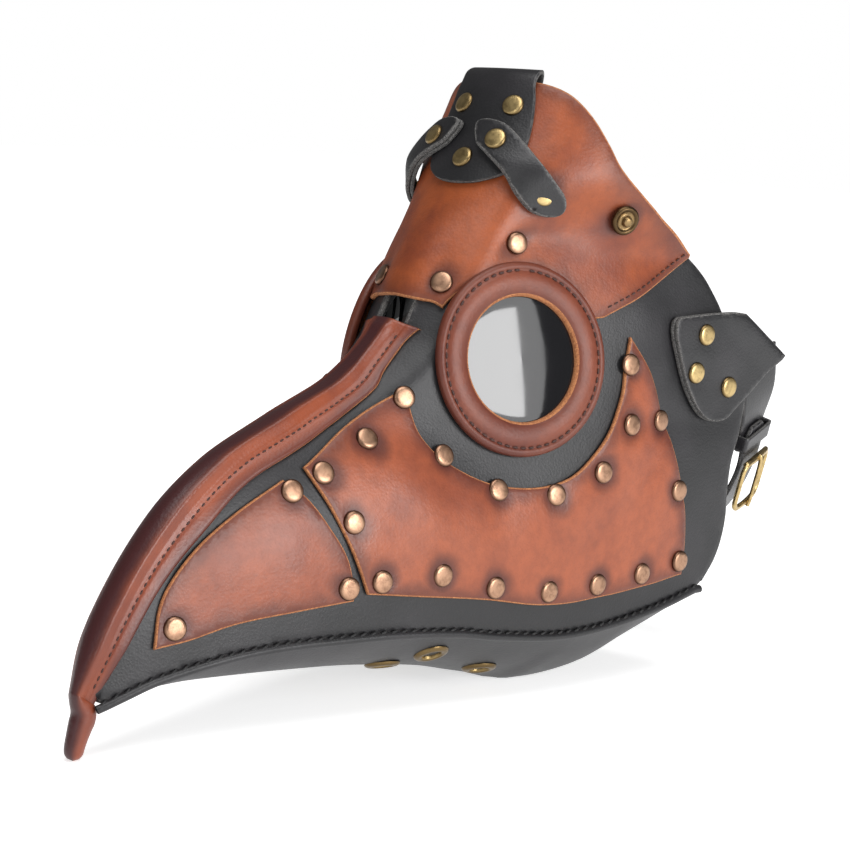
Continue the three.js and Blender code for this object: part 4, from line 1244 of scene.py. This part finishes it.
def crown_place(u, v, w):
    """The crown patch, from its point on the forehead up, over the edge and down behind it."""
    point = lookup(CROWN_PATH, v)
    along = unit(lookup(CROWN_PATH, np.minimum(v + 0.004, 1)) - lookup(CROWN_PATH, np.maximum(v - 0.004, 0)))
    depth = (w - 0.5) * CROWN_THICKNESS
    z = point[:, 0] - along[:, 1] * depth
    offset = point[:, 1] + along[:, 0] * depth
    behind_fold = smoothstep(v, 0.52, 0.60)
    low, high = smooth_table(CROWN_SIDES, np.minimum(point[:, 0], 243)).T
    low = low + (-14.0 - low) * behind_fold
    high = high + (17.0 - high) * behind_fold
    x = low + (high - low) * u
    t = front_t(x, np.minimum(point[:, 0], CROWN_TOP))
    return on_skin(t, z, offset)


def add_crown():
    piece = slab("crown_leather", crown_place, 44, 110, STRAP_SET, extent_mm=(42, 88))
    fit(piece, "mask", "black_leather", "crown_patch")
    for k, place in enumerate(CROWN_RIVETS):
        spot = front_seat(place, 6.9)
        metal = turned_at(f"crown_rivet_{k + 1}_metal", rivet_profile(9.5), spot, [GOLD_BRASS])
        fit(metal, "mask", "brass", f"crown_rivet_{k + 1}")
    brow_ply(1, BROW_PLIES[0], "brow_strap")
    brow_ply(2, BROW_PLIES[1])
    for k, (place, sunk) in enumerate(((BROW_TOP, 0.0), (BROW_LOW, BROW_SINK))):
        spot = front_seat(place, BROW_PLIES[1][1] - 0.1 - sunk)
        rivet = f"brow_rivet_{k + 1}"
        fit_metal_pair(rivet, rivet, rivet_profile(9.0 - 1.5 * k), spot, GOLD_BRASS)


BROW_STRAP = [
    (6.7, 211.1), (4.1, 216.1), (3.6, 219.6), (6.4, 221.0), (9.6, 220.9), (13.7, 219.7), (17, 217.3),
    (21.7, 212.8), (27.4, 206.5), (31.1, 201.9), (33.3, 198), (33.2, 193.6), (31.4, 190.4), (29, 189.6),
    (26.6, 190.6), (24.6, 193.0), (22.4, 196.4), (18.8, 201.6), (12.4, 207),
]


def brow_ply(ply, layer, *nodes):
    """One layer of a brow strap: it lies on the crown patch and sinks to the forehead at its lower end."""
    loop = resampled(spline(BROW_STRAP + BROW_STRAP[:1], 10), 1.4)[:-1]
    middle = loop.mean(0)
    loop = under_front(middle + (loop - middle) * (1 - 0.015 * (ply - 1)), 0.0)

    def sink(points):
        depth = BROW_SINK * (1 - smoothstep(points[:, 1], 188, 206))
        return -depth + 0.5 * np.exp(-((points[:, 1] - 204) / 5) ** 2)

    rivets = [wrap_from_front([p])[0] for p in (BROW_TOP, BROW_LOW)]
    piece = leather(f"left_brow_strap_ply_{ply}", loop, wrap_map, layer, STRAP_SET, spacing=1.8, rivets=rivets,
                    dent=0.35, relief=sink, bevel=0.5)
    fit_pair(piece, "black_leather", *nodes)


# ---------------------------------------------------------------- forehead metal and underside


STUD_PROFILE = [(0.01, 3.6), (1.5, 3.6), (2.0, 3.1), (1.9, 1.6), (2.4, 1.0), (3.6, 0.9), (4.0, 1.3), (4.6, 1.9),
                (5.3, 1.8), (5.9, 1.2), (6.0, 0.3), (5.8, -0.2)]
EYELET_PROFILE = [(3.9, -2.6), (3.8, 0.6), (4.1, 1.15), (4.8, 1.4), (5.6, 1.3), (6.4, 0.95), (6.9, 0.45),
                  (7.0, 0.0)]


def add_forehead_metal():
    for k, place in enumerate(FOREHEAD_RIVETS):
        rivet = f"forehead_rivet_{k + 1}"
        fit_metal_pair(rivet, rivet, rivet_profile(4.8), front_seat(place, FOREHEAD[1] - 0.25), ROSE_BRASS)
    snap = seat_frame(side_map, SNAP, FOREHEAD[1] - 0.5)
    fit_metal_pair("snap", "snap_stud", STUD_PROFILE, snap, DARK_BRASS)


def belly_spot(x, y):
    """A place on the underside and its normal, which points down."""
    def height(dx, dy):
        yy = np.array([y + dy], float)
        return belly_height(np.array([x + dx], float), yy, bottom_half(yy))[0]

    normal = np.array([height(1, 0) - height(-1, 0), height(0, 1) - height(0, -1), -2.0])
    return np.array([x, y, height(0, 0)]), unit(normal)


def add_eyelets():
    for k, (x, y) in enumerate(EYELETS):
        metal = turned_at(f"vent_eyelet_{k + 1}_metal", EYELET_PROFILE, belly_spot(x, y), [GOLD_BRASS], 48)
        fit(metal, "mask", "brass", f"vent_eyelet_{k + 1}")


# ---------------------------------------------------------------- straps

ANCHOR = [
    [(263, 150.5), (280, 151.6), (294, 151.9), (301, 151.2)],
    [(301, 151.2), (314.5, 142.1), (328, 133)],
    [(328, 133), (318, 126.5), (308, 118.5), (299, 112)],
    [(299, 112), (293, 107.8), (285, 107.2), (278, 110.5), (271, 119), (265, 131), (260.5, 143), (260.8, 148.5),
     (263, 150.5)],
]


def add_anchor():
    for ply, layer in enumerate((LOWER_PLY, UPPER_PLY)):
        loop = under_side(outline(*ANCHOR, spacing=1.5), layer[1])
        piece = leather(f"left_anchor_ply_{ply + 1}", loop, side_map, layer, STRAP_SET, spacing=2.0,
                        rivets=ANCHOR_RIVETS, dent=0.5 if ply else 0.2, bevel=0.45, relief=anchor_relief)
        fit_pair(piece, "black_leather", "anchor_plate" if ply else "anchor_pad")
    add_rivet_row("anchor", side_map, ANCHOR_RIVETS, UPPER_PLY[1] - 0.25, GOLD_BRASS, 6.2)


def anchor_relief(points):
    """The plate swells towards the fold behind the shell's edge, and rolls over there."""
    along = (points[:, 0] - 300) * 0.56 + (points[:, 1] - 143) * 0.83
    return 1.0 * smoothstep(along, -6, 5) - 1.6 * smoothstep(along, 5, 10.5)


LOOP_LEFT = [(56.3, 319, 137), (54, 325, 117), (46.5, 330, 94), (38.5, 333, 70), (22, 333, 53), (0, 333, 48)]
LOOP = spline(LOOP_LEFT + [(-x, y, z) for x, y, z in LOOP_LEFT[-2::-1]], 24)
LOOP_LINE = resampled(LOOP, 1, 600)
LOOP_LENGTH = float(np.sum(np.linalg.norm(np.diff(LOOP_LINE, axis=0), axis=1)))
BAR_AT = 50.0            # places along the rear strap, from the left fold: the buckle's bar,
TAIL_AT = 36.0           # the free end,
KEEPER_AT = 42.0         # and the keeper
TAIL_LIFT = 2.4          # how far the long part lies over the short one
HOLES_FROM = BAR_AT + 34
HOLE_PITCH = 12.0
HOLE_COUNT = 5
# A hole is drawn as a thin dark disc on the strap's face: painted shade in place of the opening.
HOLE_PROFILE = [(0.01, 0.06), (1.5, 0.06), (2.1, 0.12), (2.4, 0.02)]
BUCKLE_LENGTH = 24.0
BUCKLE_WIDTH = 30.0
BUCKLE_WIRE = 2.6
BUCKLE_BOW = 0.88        # how far the buckle's middle stands above its ends
BUCKLE_BAR_X = -10.7
PRONG_PATH = [(-12.1, 0, 1.1), (-11.4, 0, 2.0), (-8, 0, 2.6), (0, 0, 2.7), (8, 0, 2.6), (12.2, 0, 2.3)]
PRONG_RADIUS = 0.95
KEEPER_SIZE = (7.6, 25.6)
KEEPER_HALF_LENGTH = 3.5


def loop_frame(length):
    """Middle, direction, width direction and outward normal of the rear strap at a length along it."""
    length = np.atleast_1d(np.asarray(length, float))
    share = np.clip(length / LOOP_LENGTH, 0, 1)
    middle = lookup(LOOP_LINE, share)
    along = unit(lookup(np.gradient(LOOP_LINE, axis=0), share))
    from_fold = np.minimum(length, LOOP_LENGTH - length)
    tilt = 0.55 * (1 - smoothstep(from_fold, 0, 60))
    across = np.stack([np.zeros_like(tilt), np.cos(tilt), -np.sin(tilt)], 1)
    across = unit(across - along * np.sum(across * along, axis=1, keepdims=True))
    outward = np.cross(along, across)
    twist = STRAP_TWIST * smoothstep(from_fold, 5, 38) * (1 - smoothstep(from_fold, 75, LOOP_LENGTH / 2))
    c, s = np.cos(twist)[:, None], np.sin(twist)[:, None]
    return middle, along, across * c - outward * s, outward * c + across * s


def strap_place(start, end, lift, point=0.0):
    """A stretch of the rear strap, lifted off its middle line, with its first end rounded by point."""
    def place(u, v, w):
        length = start + (end - start) * u
        middle, _, across, outward = loop_frame(length)
        half = STRAP_WIDTH / 2 * np.ones_like(u)
        if point:
            half = half * np.sqrt(np.clip(np.minimum(1, (length - start) / point + 0.15), 0, 1))
        return (middle + across * ((2 * v - 1) * half)[:, None]
                + outward * (lift(length) + (w - 0.5) * STRAP_THICKNESS)[:, None])
    return place


def tail_lift(length):
    """The long part lies over the short one up to the buckle's bar, and comes down behind it."""
    return TAIL_LIFT * (1 - smoothstep(length, BAR_AT, BAR_AT + 22))


def add_rear_strap():
    short = slab("rear_strap_short_leather", strap_place(2, BAR_AT - 3, lambda s: 0 * s), 40, 14, STRAP_SET,
                 extent_mm=(45, 22))
    fit(short, "rear_strap", "black_leather", "rear_strap_short")
    long = slab("rear_strap_long_leather", strap_place(TAIL_AT, LOOP_LENGTH - 2, tail_lift, point=10), 150, 14,
                STRAP_SET, extent_mm=(200, 22))
    fit(long, "rear_strap", "black_leather", "rear_strap_long")
    add_strap_holes()
    add_buckle()
    add_keeper()
    add_crown_strap()


def add_strap_holes():
    parts = []
    for k in range(HOLE_COUNT):
        length = HOLES_FROM + HOLE_PITCH * k
        middle, _, _, outward = loop_frame(length)
        point = middle[0] + outward[0] * (tail_lift(length) + STRAP_THICKNESS / 2)
        # Dark discs, painted shade standing in for the open holes.
        parts.append(turned_part(HOLE_PROFILE, (point, outward[0]), 20))
    fit(merged("rear_strap_holes", parts, [BLACK_FLESH]), "rear_strap", "black_leather")


def rounded_bar(path, radius, closed=True, sides=14, flatten=1.0):
    """A bent bar along a path of points, as (points, faces, marks)."""
    path = np.asarray(path, float)
    ahead = np.roll(path, -1, axis=0) - np.roll(path, 1, axis=0) if closed else np.gradient(path, axis=0)
    across, up = circle(sides)
    points = []
    for point, direction in zip(path, unit(ahead)):
        side = unit(np.cross(direction, [0.0, 0.0, 1.0]))
        top = np.cross(side, direction)
        points.append(point + radius * (across[:, None] * side + flatten * up[:, None] * top))
    rings = len(path)
    faces = band_faces(rings, sides)
    last = (rings - 1) * sides
    if closed:
        faces += [(last + s, last + (s + 1) % sides, (s + 1) % sides, s) for s in range(sides)]
    else:
        faces += [tuple(range(sides))[::-1], tuple(last + s for s in range(sides))]
    return np.vstack(points), faces, np.zeros(rings * sides)


def rounded_rectangle(length, width, corner, count=9):
    points = []
    for sx, sy, start in ((1, 1, 0), (-1, 1, 90), (-1, -1, 180), (1, -1, 270)):
        for angle in np.radians(np.linspace(start, start + 90, count)):
            points.append((sx * (length / 2 - corner) + corner * math.cos(angle),
                           sy * (width / 2 - corner) + corner * math.sin(angle), 0.0))
    return resampled(np.array(points + points[:1]), 0.8)[:-1]


def on_strap(points, length, lift):
    """Points in the strap's own directions at a length along it: along, across and outwards."""
    middle, along, across, outward = (a[0] for a in loop_frame(length))
    turn = np.stack([along, across, np.cross(along, across)], 1)
    return points @ turn.T + middle + outward * lift


def add_buckle():
    def place(part):
        points, faces, marks = part
        return on_strap(points, BAR_AT + BUCKLE_LENGTH / 2, TAIL_LIFT + 3), faces, marks

    ring = rounded_rectangle(BUCKLE_LENGTH - BUCKLE_WIRE, BUCKLE_WIDTH - BUCKLE_WIRE, 4.5)
    ring[:, 2] = BUCKLE_BOW * (1 - (ring[:, 1] / (BUCKLE_WIDTH / 2)) ** 2)
    bar = np.stack([np.full(12, BUCKLE_BAR_X), np.linspace(-12.5, 12.5, 12), np.zeros(12)], 1)
    parts = [place(rounded_bar(ring, BUCKLE_WIRE / 2, flatten=0.85)), place(rounded_bar(bar, 1.1, False))]
    fit(merged("buckle_frame_metal", parts, [GOLD_BRASS]), "buckle", "brass", "buckle_frame")
    prong = place(rounded_bar(spline(PRONG_PATH, 8), PRONG_RADIUS, False, 12))
    fit(merged("buckle_prong_metal", [prong], [GOLD_BRASS]), "prong", "brass", "buckle_prong")


def add_keeper():
    ring = rounded_rectangle(*KEEPER_SIZE, 1.4)
    count = len(ring)
    steps = np.linspace(-KEEPER_HALF_LENGTH, KEEPER_HALF_LENGTH, 6)
    outer = np.vstack([np.stack([np.full(count, step), ring[:, 1], ring[:, 0]], 1) for step in steps])
    points = np.vstack([outer, outer * np.array([1, 0.93, 0.72])])
    size = len(outer)
    shell = band_faces(len(steps), count)
    faces = shell + flipped(shell, size)
    looks = [0] * len(shell) + [2] * len(shell)
    for row in (0, len(steps) - 1):
        for k in range(count):
            a, b = row * count + k, row * count + (k + 1) % count
            faces.append((b, a, size + a, size + b) if row == 0 else (a, b, size + b, size + a))
            looks.append(1)
    placed = on_strap(points, KEEPER_AT, TAIL_LIFT / 2)
    marks = wear_marks(np.full(len(points), 2.0))
    piece = link_mesh("strap_keeper_leather", placed, faces, STRAP_SET, looks, marks)
    fit(piece, "keeper", "black_leather", "strap_keeper")


CROWN_STRAP_UPPER = [(211, 222), (216, 231), (226, 235), (246, 227), (274, 204), (299, 172), (314, 144.5)]
CROWN_STRAP_LOWER = [(317.3, 137.5), (326, 112), (331, 82), (332.5, 53.5)]


def mid_strap_place(points):
    """A strap on the mid-plane along a side-view route."""
    path = resampled(spline(points, 16), 1, 300)
    slope = unit(np.gradient(path, axis=0))

    def place(u, v, w):
        point, along = lookup(path, u), lookup(slope, u)
        side = (w - 0.5) * STRAP_THICKNESS
        return np.stack([STRAP_WIDTH / 2 * (1 - 2 * v), point[:, 0] - along[:, 1] * side,
                         point[:, 1] + along[:, 0] * side], 1)
    return place


def add_crown_strap():
    route = mid_strap_place(CROWN_STRAP_UPPER + CROWN_STRAP_LOWER)
    piece = slab("crown_strap_leather", route, 130, 14, STRAP_SET, extent_mm=(250, 22))
    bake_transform(piece)
    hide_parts("crown_strap_upper", "crown_strap_lower")


# ---------------------------------------------------------------- studio


WORLD_LIGHT = 0.16
FLOOR_SIZE = 12
FLOOR_GLOW = (0.22, 0.65, 0.62, 1.0)     # distance from the middle and strength: where it starts and ends
AIM = Vector((0, 0, 0.12))
SOFTBOXES = (
    ("side_near", (1.55, 0.04, 0.40), (0.68, 0.40), 9.5),
    ("side_wide", (1.85, 0.05, 0.62), (1.04, 1.0), 12.5),
    ("top", (0.45, -0.25, 1.55), (1.2, 1.2), 20.0),
    ("front", (0.75, -2.2, 0.9), (0.7, 0.7), 7.5),
)


def add_world():
    """Dim even light, and a white backdrop where the camera looks past the object."""
    world = bpy.data.worlds.new("studio")
    world.use_nodes = True
    tree = world.node_tree
    seen = tree.nodes.new("ShaderNodeLightPath")
    room = tree.nodes["Background"]
    room.inputs["Color"].default_value = (1, 1, 1, 1)
    room.inputs["Strength"].default_value = WORLD_LIGHT
    backdrop = tree.nodes.new("ShaderNodeBackground")
    backdrop.inputs["Color"].default_value = (1, 1, 1, 1)
    mix = tree.nodes.new("ShaderNodeMixShader")
    tree.links.new(seen.outputs["Is Camera Ray"], mix.inputs["Fac"])
    tree.links.new(room.outputs[0], mix.inputs[1])
    tree.links.new(backdrop.outputs[0], mix.inputs[2])
    tree.links.new(mix.outputs[0], tree.nodes["World Output"].inputs["Surface"])
    bpy.context.scene.world = world


def add_floor():
    """A pale floor that glows more with distance, so that it meets the backdrop without a line."""
    bpy.ops.mesh.primitive_plane_add(size=FLOOR_SIZE)
    floor = bpy.context.object
    floor.name = "floor"
    n = Nodes("pale_floor")
    colour = n.mix(n.noise(3.0, 2.0), rgb(0.90, 0.90, 0.90), rgb(0.93, 0.93, 0.93))
    n.set(Base_Color=colour, Roughness=0.8, Emission_Color=rgb(1, 1, 1))
    far = n.add("ShaderNodeVectorMath", {0: n.place()}, operation="LENGTH").outputs["Value"]
    n.feed(n.shader.inputs["Emission Strength"], n.ramp(far, *FLOOR_GLOW))
    floor.data.materials.append(n.material)


def add_studio():
    """A white sweep, two softboxes on the wearer's left, one above and a weak one in front."""
    bpy.context.scene.view_settings.view_transform = "Standard"
    add_world()
    add_floor()
    for name, place, size, power in SOFTBOXES:
        data = bpy.data.lights.new(name, "AREA")
        data.shape = "RECTANGLE"
        data.size, data.size_y = size
        data.energy = power
        lamp = bpy.data.objects.new(name, data)
        lamp.location = place
        lamp.rotation_euler = (AIM - Vector(place)).to_track_quat("-Z", "Y").to_euler()
        bpy.context.scene.collection.objects.link(lamp)


# ---------------------------------------------------------------- assembly

add_side_panels()
add_bottom()
add_forehead()
add_ridge()
add_cheek_patch()
add_beak_patch()
add_eyes()
add_crown()
add_forehead_metal()
add_eyelets()
add_anchor()
add_rear_strap()
add_studio()
